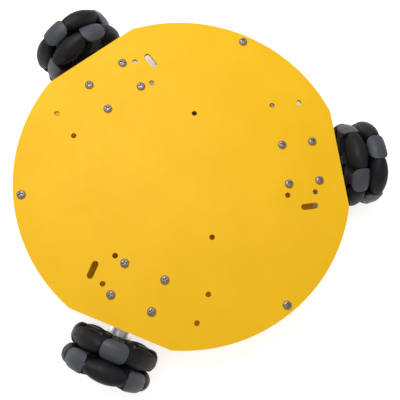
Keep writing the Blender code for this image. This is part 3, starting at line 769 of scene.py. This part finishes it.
def bracket_mesh():
    """A bent angle: a plate under the deck and one that carries the gearbox."""
    top, half = DECK_LOW.z, BRACKET_HALF
    underside = top - BRACKET_THICKNESS
    inner, outer = PLATE_U
    outline = [(BRACKET_INNER_U, underside), (BRACKET_INNER_U, top)]
    outline += arc(outer - BEND_RADIUS, top - BEND_RADIUS, BEND_RADIUS, pi / 2, 0, 12)
    outline += [(outer, BRACKET_BOTTOM), (inner, BRACKET_BOTTOM)]
    inside = BEND_RADIUS - BRACKET_THICKNESS
    outline += arc(inner - inside, underside - inside, inside, 0, pi / 2, 6)
    sheet = moved(slab(outline, -half, half), Y_UPRIGHT)
    corners = [(BRACKET_BOTTOM, -half), (BRACKET_BOTTOM, half), (MM, half), (MM, -half)]
    face = slab(eased(corners, 3.5 * MM, steps=8), -outer - MM, -BRACKET_INNER_U + MM)
    sheet = boolean(sheet, [moved(face, turn(-pi / 2, "Y"))], "INTERSECT")
    tools = [moved(bar(BOSS_RADIUS + 0.15 * MM, inner - MM, outer + MM), ALONG_U)]
    for side in (-1, 1):
        hole = bar(M3 + 0.2 * MM, inner - MM, outer + MM, side * FACE_SCREW_OFFSET)
        tools.append(moved(hole, ALONG_U))
    tools += [bar(M3 + 0.15 * MM, underside - MM, top + MM, u, v) for u, v in BRACKET_SCREWS]
    return machined(sheet, tools, 0.2 * MM)


def gearbox_mesh():
    """The gear head: two end plates with a ring gear between them, and the boss in front."""
    face, back = PLATE_U[0], CAN_U[1]
    bore, bore_end, tip = SHAFT_RADIUS + 0.15 * MM, 86 * MM, face + BOSS_LENGTH
    profile = [(0, bore_end), (bore, bore_end), (bore, tip), (BOSS_RADIUS, tip), (BOSS_RADIUS, face)]
    profile += around(GEARBOX_RADIUS, face, (0, 0), (0, -2.4), (-0.35, -2.5), (-0.35, -2.9), (0, -3))
    profile += around(GEARBOX_RADIUS, back, (0, 3), (-0.35, 2.9), (-0.35, 2.5), (0, 2.4), (0, 0))
    return lathe(profile + [(0, back)], 64, ease=0.12 * MM)


def can_mesh():
    """The motor's drawn can, with its rolled rear edge, two vents and a recess for the end cap."""
    back, front = CAN_U
    profile = [(0, front), (CAN_RADIUS, front)]
    profile += around(CAN_RADIUS, back, (0, 5.2), (-0.25, 5), (-0.25, 4.4), (0, 4.2), (0, 0),
                          (-1.6, 0), (-1.6, 1))
    can = lathe(profile + [(0, back + MM)], 64, ease=0.3 * MM)
    vent = mm(3, 5, 2.4)
    vents = [block(vent, (j * CAN_RADIUS, 0, front - 4 * MM), 0.5 * MM) for j in (-1, 1)]
    return machined(can, vents)


def end_cap_mesh():
    """The moulded end of the motor around its rear bearing."""
    profile = around(0, CAN_U[0], (0, 0.98))
    profile += around(CAN_RADIUS, CAN_U[0], (-1.65, 0.98), (-1.65, 0.1))
    profile += around(0, CAN_U[0], (6.2, 0.1), (5.9, 0.5), (3.4, 0.5), (3.2, 0.1), (0, 0.1))
    return lathe(profile, 48, ease=0.1 * MM)


def encoder_board_mesh(near, far):
    """A round board with a flat, and holes for the motor's two tabs."""
    half_flat = 0.5
    outline = arc(0, 0, ENCODER_RADIUS, pi + half_flat, pi * 3 - half_flat, 72)
    slit = mm(2.8, 1, 4)
    slits = [block(slit, (0, j * TAB_OFFSET, (near + far) / 2)) for j in (-1, 1)]
    return machined(slab(outline, far, near), slits, 0.12 * MM)


def socket_mesh(size, wall, floor):
    """An open pin socket standing on Z, with a slot in its long side."""
    length, width, height = size
    hollow = block((length - 2 * wall, width - 2 * wall, height), (0, 0, height / 2 + floor))
    notch = block((wall * 3, width * 0.34, height), (length / 2, 0, height * 0.75))
    return machined(standing(size, 0.25 * MM), [hollow, notch], 0.08 * MM)


def pins_mesh(top):
    """Six square pins in line along Y."""
    bottom, side, pitch = 0.3 * MM, 0.64 * MM, 2 * MM
    size, middle = (side, side, top - bottom), (bottom + top) / 2
    pins = [block(size, (0, (i - 2.5) * pitch, middle), 0.1 * MM) for i in range(6)]
    return smooth(gathered(pins))


def chip_mesh(length, width, height, legs, pitch):
    """A moulded chip with gull-wing legs on its long sides; returns its body and its legs."""
    lift = 0.15 * MM
    body = block((length, width, height - lift), (0, 0, (height + lift) / 2))
    for vertex in body.vertices:
        if vertex.co.z > height * 0.9:
            vertex.co.x *= 0.95
            vertex.co.y *= 0.95
    dot = bar(0.35 * MM, height - 0.06 * MM, height + MM, -length * 0.36, -width * 0.36, 16)
    knee, half = 0.55 * height, 0.11 * MM * pitch / (0.5 * MM)
    outline = around(0, knee, (0, 0), (0.35, 0))
    outline += around(0, 0, (0.6, 0), (1.1, 0), (1.1, 0.14), (0.72, 0.14))
    outline += around(0, knee, (0.45, 0.14), (0, 0.14))
    made = []
    for side in (0, pi):
        for i in range(legs):
            foot = shift(length / 2 - 0.05 * MM, (i - (legs - 1) / 2) * pitch)
            made.append(moved(slab(outline, -half, half), turn(side) @ foot @ Y_UPRIGHT))
    return machined(body, [dot], 0.06 * MM), smooth(gathered(made))


def add_drives():
    bracket, lock_nut = bracket_mesh(), nut(2.75 * MM, 2.4 * MM, M3)
    deck_screw, face_screw = m3_screw(8 * MM), m3_screw(4.5 * MM)
    near = CAN_U[0] - 0.3 * MM - MAGNET_LENGTH
    far = near - BOARD_THICKNESS
    magnet = collar(MM, MAGNET_RADIUS, near + MAGNET_LENGTH, near + 0.8 * MM, 48, 0.25 * MM)
    tab_start, tab_end = far - 0.8 * MM, CAN_U[0] + 0.5 * MM
    tab = (2.2 * MM, 0.5 * MM, tab_end - tab_start)
    drop = around(0, 0, (0, 0.9), (0.6, 0.7), (1.3, 0.25), (1.9, 0), (0, 0))
    tabs, solder = [], []
    for side in (-TAB_OFFSET, TAB_OFFSET):
        tabs.append(block(tab, (0, side, (tab_end + tab_start) / 2), 0.12 * MM))
        solder.append(moved(lathe(drop, 24, ease=0.2 * MM), shift(0, side, far) @ OVER))
    socket = socket_mesh(mm(6, 14, 5), 0.7 * MM, 1.2 * MM)
    socket_place = shift(ENCODER_RADIUS / 2, 0, far) @ OVER
    chip, legs = chip_mesh(3.9 * MM, 4.9 * MM, 1.4 * MM, 4, 1.27 * MM)
    chip_place = shift(-4.5 * MM, 0, far) @ OVER
    parts = (
        ("gear_head", gearbox_mesh(), "gearbox", "gearbox"),
        ("motor_shell", can_mesh(), "can", "motor_can"),
        ("motor_end_cap", end_cap_mesh(), "black"),
        ("motor_tabs", gathered(tabs), "screw"),
        ("tab_solder", smooth(gathered(solder)), "screw"),
        ("encoder_magnet", magnet, "black"),
        ("encoder_board", encoder_board_mesh(near, far), "green_board", "encoder"),
        ("encoder_socket", moved(socket, socket_place), "white"),
        ("encoder_pins", moved(pins_mesh(4.2 * MM), socket_place), "brass"),
        ("encoder_chip", moved(chip, chip_place), "chip"),
        ("encoder_chip_legs", moved(legs, chip_place), "screw"),
    )
    for station, twists in zip(STATIONS, SCREW_TWISTS):
        base = station_turn(station)
        drive = base @ ALONG_U
        piece(f"{station}_bracket_sheet", bracket, "sheet", base, f"{station}_motor_bracket")
        for i, ((u, v), twist) in enumerate(zip(BRACKET_SCREWS, twists), 1):
            seat = base @ shift(u, v, DECK_HIGH.z) @ turn(twist)
            piece(f"{station}_deck_screw_{i}", deck_screw, "screw", seat)
            under = base @ shift(u, v, DECK_LOW.z - BRACKET_THICKNESS) @ turn(twist * 2)
            piece(f"{station}_deck_nut_{i}", lock_nut, "screw", under)
        for i, side in enumerate((-1, 1), 1):
            seat = drive @ shift(side * FACE_SCREW_OFFSET, 0, PLATE_U[1]) @ turn(twists[i])
            piece(f"{station}_face_screw_{i}", face_screw, "screw", seat)
        add_parts(station, drive, parts)


# Wheels

def kidney(inner, outer, half_angle, bottom, top):
    outline = arc(0, 0, outer, -half_angle, half_angle, 14)
    return slab(outline + arc(0, 0, inner, half_angle, -half_angle, 10), bottom, top)


def hub_mesh(twist):
    """One row's hub: four crowned blocks, a pocket for each roller and webs round the hex bore.

    The bore is turned by the row's twist. A pocket's end walls flare towards the hub's faces,
    which rounds the blocks' corners.
    """
    width, wall, beyond = HUB_HALF, 17.6 * MM, 20 * MM
    rim = [(0, width), (BLOCK_SHOULDER, width), (BLOCK_RADIUS, width * 0.45)]
    rim += [(radius, -z) for radius, z in reversed(rim)]
    body = lathe(eased(rim, 2.2 * MM, closed=False, steps=7), 144)
    half, reach = ROLLER_HALF + 0.3 * MM, WHEEL_RADIUS * 1.2
    pocket = [(wall, -half), (beyond, -half), (beyond, half), (wall, half)]
    pocket += around(0, 0, (15.8, 6), (15.8, -6))
    waist = [(wall, -half), *around(0, 0, (11.2, -5), (11.2, 5)), (wall, half)]
    waist = eased(waist, 1.5 * MM, closed=False) + [(beyond, half), (beyond, -half)]
    flare, level = BLOCK_CORNER, width - BLOCK_CORNER
    angles = [pi / 2 * i / 8 for i in range(9)]
    quarter = [(half + flare - flare * cos(a), level + flare * sin(a)) for a in angles]
    quarter.append((half + flare, width + MM))
    ends = quarter + [(-t, z) for t, z in reversed(quarter)]
    ends += [(-t, -z) for t, z in quarter] + [(t, -z) for t, z in reversed(quarter)]
    # the outline in (sideways, along the axle), given its thickness outwards
    outwards = Matrix(((0, 0, 1, 0), (1, 0, 0, 0), (0, 1, 0, 0), (0, 0, 0, 1)))
    tools = []
    for i in range(4):
        spin = turn(i * pi / 2)
        pocket_turn = spin @ turn(pi / 4)
        tools.append(moved(slab(pocket, -width - MM, width + MM), pocket_turn))
        tools.append(moved(slab(ends, 19 * MM, reach), pocket_turn @ outwards))
        for side in (-1, 1):
            low, high = sorted((side * (width - 2 * MM), side * (width + MM)))
            tools.append(moved(kidney(8.2 * MM, 13.4 * MM, 0.5, low, high), spin))
            low, high = sorted((side * 3.2 * MM, side * (width + MM)))
            tools.append(moved(slab(waist, low, high), pocket_turn))
    tools.append(moved(hex_bar(HEX_HALF_FLATS + 0.08 * MM, -width - MM, width + MM), turn(twist)))
    return machined(body, tools, 0.3 * MM, 38)


def sleeve_mesh():
    """A roller's rubber: its outer line is an arc of the wheel's circle, with rounded ends."""
    half, count = ROLLER_HALF - 0.35 * MM, 22
    heights = [half - 2 * half * i / count for i in range(count + 1)]
    crown = [(sqrt(WHEEL_RADIUS**2 - h**2) - PIN_CIRCLE, h) for h in heights]
    end = crown[0][0]
    profile = [(CORE_RADIUS, half)] + around(end, half, (-0.5, 0), (-0.1, -0.15)) + crown[1:-1]
    profile += around(end, -half, (-0.1, 0.15), (-0.5, 0)) + [(CORE_RADIUS, -half)]
    return lathe(profile, 56, ring=True)


def coupling_mesh():
    """A turned flange outside the wheel and a hex spigot through it, bored for the shaft."""
    start, shoulder, end = (u - WHEEL_U for u in (*COUPLING_U, SPIGOT_END_U))
    profile = [(0, shoulder), (FLANGE_RADIUS, shoulder)]
    profile += around(FLANGE_RADIUS, start, (0, 1.2), (-0.3, 1), (-0.3, 0.7), (0, 0.5), (0, 0))
    flange = bevelled(lathe(profile + [(0, start)], 72), 0.35 * MM)
    spigot = hex_bar(HEX_HALF_FLATS, shoulder - MM, end, 0.3 * MM)
    tools = [bar(SHAFT_RADIUS + 0.12 * MM, start - MM, end + MM)]
    for angle in (0, pi / 2):
        hole = moved(bar(M3, 0, FLANGE_RADIUS + MM), Z_ALONG_X)
        tools.append(moved(hole, turn(angle) @ shift(0, 0, GRUB_U - WHEEL_U)))
    return machined(boolean(flange, [spigot], "UNION"), tools)


def grub_screw_mesh():
    """A socket set screw along +X, flush inside its hole."""
    outer = FLANGE_RADIUS - 0.9 * MM
    screw = bevelled(bar(M3 * 0.96, 2.3 * MM, outer), 0.2 * MM)
    socket = hex_bar(0.75 * MM, outer - 1.4 * MM, outer + MM)
    return smooth(moved(boolean(screw, [socket]), Z_ALONG_X))


def shaft_mesh():
    start, end = (u - WHEEL_U for u in SHAFT_U)
    flat = block(mm(2, 6, 14), (SHAFT_FLAT + MM, 0, end - 6 * MM))
    return smooth(boolean(collar(0, SHAFT_RADIUS, end, start, 48, 0.3 * MM), [flat]))


def add_wheels():
    hubs = {"inner": hub_mesh(0), "outer": hub_mesh(pi / 4)}
    sleeve = sleeve_mesh()
    core = collar(1.35 * MM, CORE_RADIUS, ROLLER_HALF, -ROLLER_HALF, 36, 0.15 * MM)
    reach = ROLLER_HALF + 2.5 * MM
    pin = collar(0, PIN_RADIUS, reach, -reach, 24, 0.2 * MM)
    coupling, grub, shaft = coupling_mesh(), grub_screw_mesh(), shaft_mesh()
    seat = ROW_PITCH / 2 + HUB_HALF
    head_seat = seat + 0.95 * MM
    washer = collar(2.2 * MM, 6 * MM, head_seat, seat, 56, 0.2 * MM)
    wheel_screw = pan_head(4 * MM, 2.4 * MM, 1.95 * MM, 12 * MM, 48)
    for station in STATIONS:
        wheel, level = f"{station}_wheel", station_place(station)
        axle = hub_place(station, "inner") @ shift(0, 0, ROW_PITCH / 2)
        piece(f"{station}_drive_shaft", shaft, "shaft", axle, f"{station}_output_shaft", wheel)
        piece(f"{station}_coupling_body", coupling, "turned", axle, f"{station}_wheel_coupling", wheel)
        for i, angle in enumerate((0, pi / 2), 1):
            place = axle @ shift(0, 0, GRUB_U - WHEEL_U) @ turn(angle)
            piece(f"{station}_grub_screw_{i}", grub, "core", place, None, wheel)
        piece(f"{station}_wheel_washer", washer, "screw", axle, None, wheel)
        top = axle @ shift(0, 0, head_seat)
        piece(f"{station}_centre_screw", wheel_screw, "screw", top, f"{station}_wheel_screw", wheel)
        for row, shape in hubs.items():
            hub = moved(shape.copy(), level.inverted() @ hub_place(station, row))
            piece(f"{station}_{row}_hub_body", hub, "hub", level, f"{station}_{row}_hub", wheel)
            for number in range(1, 5):
                roller, place = f"{station}_{row}_roller_{number}", roller_place(station, row, number)
                piece(f"{station}_{row}_pin_{number}", pin, "shaft", place, None, wheel)
                piece(f"{roller}_sleeve", sleeve, "rubber", place, roller, roller)
                piece(f"{roller}_core", core, "core", place, None, roller)


# Battery and controller

def trough_mesh():
    """The open holder with a round trough for each cell and a finger notch in each side."""
    height = HOLDER_SIZE[2]
    body = block(HOLDER_SIZE, (BATTERY_REACH, 0, TRAY_TOP + height / 2), 0.8 * MM)
    radius, length = CELL_RADIUS + 0.25 * MM, CELL_LENGTH + 3.6 * MM
    trough = arc(0, 0, radius, pi, tau, 36) + [(radius, height), (-radius, height)]
    troughs, notches = [], []
    for side in (-1, 1):
        lay = shift(BATTERY_REACH + side * CELL_SPACING / 2, 0, CELL_AXIS) @ Y_UPRIGHT
        troughs.append(moved(slab(trough, -length / 2, length / 2), lay))
        edge = shift(BATTERY_REACH + side * HOLDER_SIZE[0] / 2, 0, TRAY_TOP + height + 2 * MM)
        notches.append(moved(bar(9 * MM, -4 * MM, 4 * MM, sides=64), edge @ Z_ALONG_X))
    holder = cleaned(boolean(body, troughs + notches), 0.02 * MM)
    return weighted(smooth(bevelled(holder, 0.25 * MM)))


def spring_mesh(base):
    """A contact spring that narrows as it rises."""
    radius, height, turns, count = 4.2 * MM, 1.3 * MM, 3, 54
    points = []
    for i in range(count + 1):
        t = i / count
        angle, reach = tau * turns * t, radius * (1.0 - 0.45 * t)
        points.append((reach * cos(angle), reach * sin(angle), base + height * t))
    return tube(points, 0.3 * MM)


def add_battery():
    lobe = turn(BATTERY_ANGLE)
    piece("battery_trough", trough_mesh(), "black", lobe, "battery_holder")
    half, inside = CELL_LENGTH / 2, CELL_RADIUS - 1.5 * MM
    end = half + 1.8 * MM
    wrap = around(CELL_RADIUS, half, (-1.4, -0.1), (-0.25, 0), (0, -0.45), (-0.05, -2.2), (0, -3))
    wrap += around(CELL_RADIUS, -half, (0, 0.5), (-0.3, 0), (-1.2, 0), (-1.2, 0.3))
    wrap += around(CELL_RADIUS, 0, (-1.4, 0))
    contact = block(mm(9, 7, 0.3), (0, 0, end - 0.2 * MM), 0.12 * MM)
    parts = (
        ("cell_wrap", lathe(wrap, 72, ring=True, ease=0.2 * MM), "wrap", "battery_cell"),
        ("cell_can", collar(0, inside, half - 0.5 * MM, -half + 0.15 * MM, 48, 0.3 * MM), "can"),
        ("cell_cap", collar(0, 2.7 * MM, half + 1.1 * MM, half - 0.4 * MM, 40, 0.4 * MM), "can"),
        ("cell_ring", collar(3.2 * MM, inside, half - 0.05 * MM, half - 0.45 * MM, 48), "white"),
        ("contact_plate", contact, "screw"),
        ("contact_spring", spring_mesh(-end + 0.25 * MM), "screw"),
    )
    for name, side in (("inner", -1), ("outer", 1)):
        place = lobe @ shift(BATTERY_REACH + side * CELL_SPACING / 2, 0, CELL_AXIS)
        add_parts(name, place @ turn(side * pi / 2, "X"), parts)
    screw = m3_screw(3.4 * MM)
    for i, (x, y) in enumerate(battery_posts(), 1):
        piece(f"holder_screw_{i}", screw, "screw", under_tray(x, y, 0.9 * i))


def board_mesh(bottom, top):
    length, width = BOARD_SIZE
    corners = [(i * length / 2, j * width / 2) for i, j in ((-1, -1), (1, -1), (1, 1), (-1, 1))]
    tools = [bar(M3 + 0.1 * MM, bottom - MM, top + MM, x, y) for x, y in board_corners()]
    return machined(slab(eased(corners, 2 * MM, steps=6), bottom, top), tools, 0.12 * MM)


def terminal_mesh(size):
    """A screw terminal: two wire mouths in front and two screw wells on top."""
    length, width, height = size
    mouth = (3 * MM, width * 0.34, height * 0.36)
    tools = []
    for y in (-width / 4, width / 4):
        tools.append(bar(1.7 * MM, height - 1.6 * MM, height + MM, 0, y, 28))
        tools.append(block(mouth, (length / 2, y, height * 0.32), 0.3 * MM))
    return machined(standing(size, 0.5 * MM), tools, 0.15 * MM)


def slotted_mesh(radius, height):
    head = bevelled(bar(radius, 0, height), 0.2 * MM)
    return smooth(boolean(head, [block((radius * 3, 0.5 * MM, height), (0, 0, height * 1.1))]))


def usb_mesh(size):
    """A square serial socket: a folded metal shell with the opening outwards."""
    length, width, height = size
    hollow = (length, width - 2.4 * MM, height - 2.4 * MM)
    mouth = block(hollow, (2.5 * MM, 0, height / 2), 0.6 * MM)
    return machined(standing(size, 0.5 * MM), [mouth], 0.12 * MM)


def add_controller():
    """The board on its spacers, with its chips and sockets."""
    bottom = TRAY_TOP + BOARD_RAISE
    top = bottom + BOARD_THICKNESS
    lobe = turn(BOARD_ANGLE) @ shift(BOARD_REACH)
    on_board = lobe @ shift(0, 0, top)

    def at(x, y):
        return on_board @ shift(x * MM, y * MM)

    piece("controller_plate", board_mesh(bottom, top), "blue_board", lobe, "controller_board")
    spacer = hex_bar(2.5 * MM, TRAY_TOP, bottom, 0.2 * MM)
    spacer = smooth(boolean(spacer, [bar(M3, TRAY_TOP - MM, bottom + MM)]))
    foot_screw, board_screw = m3_screw(4.5 * MM), m3_screw(4 * MM, HEAD_HEIGHT * 0.8)
    for i, (x, y) in enumerate(controller_posts(), 1):
        piece(f"board_spacer_{i}", spacer, "black", shift(x, y) @ turn(0.3 * i))
        piece(f"board_screw_{i}", board_screw, "screw", shift(x, y, top) @ turn(0.8 * i))
        piece(f"board_foot_screw_{i}", foot_screw, "screw", under_tray(x, y, 0.5 * i))
    body, legs = chip_mesh(14 * MM, 14 * MM, 1.7 * MM, 22, 0.55 * MM)
    more = moved(legs.copy(), turn(pi / 2))
    piece("main_chip", body, "chip", on_board)
    piece("main_chip_legs", smooth(gathered([legs, more])), "screw", on_board)
    driver, driver_legs = chip_mesh(6.2 * MM, 9 * MM, 1.6 * MM, 8, MM)
    for i, (x, y) in enumerate(((-7, -21), (-7, 21), (17, -8)), 1):
        piece(f"driver_chip_{i}", driver, "chip", at(x, y))
        piece(f"driver_chip_legs_{i}", driver_legs, "screw", at(x, y))
    socket, pins = socket_mesh(mm(8, 15, 6), 0.8 * MM, 1.4 * MM), pins_mesh(5 * MM)
    for i, y in enumerate((-19, 0, 19), 1):
        spot = at(-20, y) @ turn(pi)
        piece(f"motor_socket_{i}", socket, "white", spot)
        piece(f"motor_socket_pins_{i}", pins, "brass", spot)
    spot = at(12, 27)
    piece("power_terminal", terminal_mesh(mm(12, 10, 8)), "green", spot)
    clamp = slotted_mesh(1.55 * MM, 1.2 * MM)
    for i, y in enumerate(mm(-2.5, 2.5), 1):
        piece(f"terminal_clamp_{i}", clamp, "screw", spot @ shift(0, y, 6.2 * MM) @ turn(0.6 * i))
    spot = at(12, -27)
    piece("serial_socket", usb_mesh(mm(14, 11, 9)), "can", spot)
    tongue = block(mm(8, 5.4, 2.8), (2 * MM, 0, 4.6 * MM), 0.3 * MM)
    piece("serial_socket_tongue", smooth(tongue), "white", spot)
    add_capacitor(at(18, 12))
    header = standing(mm(2.5, 20, 8.5), 0.2 * MM)
    hole = mm(0.9, 0.9, 4)
    holes = [block(hole, (0, (i - 3.5) * 2.5 * MM, 8.5 * MM)) for i in range(8)]
    header = smooth(boolean(header, holes))
    piece("expansion_header", header, "black", at(-10.5, -5.5))
    add_small_parts(on_board)


def add_capacitor(place):
    """A can in a shrunk sleeve, with a scored lid."""
    profile = around(0, 0, (0, 10.6), (3.1, 10.6), (3.1, 11), (4, 11), (4, 9.6), (3.8, 9.4),
                         (3.8, 9.1), (4, 8.9), (4, 0), (0, 0))
    piece("capacitor_sleeve", lathe(profile, 48, ease=0.25 * MM), "black", place)
    score = (mm(6, 0.25, 0.3), (0, 0, 10.85 * MM))
    scores = [moved(block(*score), turn(angle)) for angle in (0, pi / 2)]
    lid = smooth(boolean(collar(0, 3.05 * MM, 10.75 * MM, 10.5 * MM, 40), scores))
    piece("capacitor_lid", lid, "can", place)


def add_small_parts(on_board):
    """Rows of small ceramic parts with soldered ends."""
    width, height = 1.25 * MM, 0.8 * MM
    cap_size = (0.36 * MM, width * 1.04, height * 1.06)
    # each row's x and y, count and step, in millimetres
    rows = ((9.5, -9, 5, 2.2), (9.5, 4, 4, 2.2), (-14, -10.5, 3, 2.4), (-14, 9.5, 3, 2.4),
            (2, 20, 4, 2.4), (2, -22, 4, 2.4))
    bodies, ends = [], []
    for x, y, count, step in rows:
        for i in range(count):
            spot = shift(x * MM, y * MM + i * (step * MM) * (1 if y >= 0 else -0.9))
            bodies.append(moved(standing((1.3 * MM, width, height)), spot))
            for end in (-1, 1):
                cap = block(cap_size, (end * 0.83 * MM, 0, height * 0.53), 0.06 * MM)
                ends.append(moved(cap, spot))
    piece("small_parts", smooth(gathered(bodies)), "tan", on_board)
    piece("small_part_ends", smooth(gathered(ends)), "screw", on_board)


# Floor, lights and camera

def add_stage():
    floor = linked(bar(FLOOR_RADIUS, FLOOR - 5 * MM, FLOOR, sides=128), "floor")
    floor.data.materials.append(pale_floor())


def soft_light(name, place, aim, size, power):
    lamp = bpy.data.lights.new(name, "AREA")
    lamp.shape = "DISK"
    lamp.size = size
    lamp.energy = power
    obj = linked(lamp, name)
    facing = (Vector(aim) - Vector(place)).to_track_quat("-Z", "Y")
    obj.matrix_world = Matrix.Translation(place) @ facing.to_matrix().to_4x4()
    return obj


def add_lights():
    """A key light, a wide top light and a sky whose brightness changes with height."""
    soft_light("key_light", (-0.09, 0.22, 0.48), (-0.01, 0.03, 0.0), 0.38, 2.06)
    top = soft_light("top_light", (0.0, 0.05, 1.3), (0.0, 0.0, 0.0), 0.9, 2.6)
    top.visible_glossy = False
    world = bpy.data.worlds.new("studio")
    world.use_nodes = True
    tree = world.node_tree
    height = tree.nodes.new("ShaderNodeSeparateXYZ")
    tree.links.new(tree.nodes.new("ShaderNodeTexCoord").outputs["Generated"], height.inputs[0])
    fade = tree.nodes.new("ShaderNodeValToRGB")
    stops = ((0.0, 0.62), (0.22, 0.50), (0.45, 0.07), (0.80, 0.42))
    for i, (level, strength) in enumerate(stops):
        stop = fade.color_ramp.elements[i] if i < 2 else fade.color_ramp.elements.new(level)
        stop.position = level
        stop.color = (strength, strength, strength, 1.0)
    tree.links.new(height.outputs["Z"], fade.inputs["Fac"])
    tree.nodes["Background"].inputs["Color"].default_value = (1.0, 1.0, 1.0, 1.0)
    tree.links.new(fade.outputs["Color"], tree.nodes["Background"].inputs["Strength"])
    SCENE.world = world
    SCENE.view_settings.view_transform = "Standard"


def add_camera():
    camera = bpy.data.cameras.new("camera")
    camera.lens = CAMERA_LENS
    camera.sensor_width = 36.0
    camera.clip_start = 0.01
    forward = CAMERA_AIM.normalized()
    right = forward.cross(CAMERA_UP).normalized()
    SCENE.camera = linked(camera, "camera")
    SCENE.camera.matrix_world = matrix_of(right, -forward, CAMERA_PLACE)


add_camera()
add_lights()
add_stage()
add_deck()
add_tray()
add_standoffs()
add_drives()
add_wheels()
add_battery()
add_controller()

bpy.context.view_layer.update()
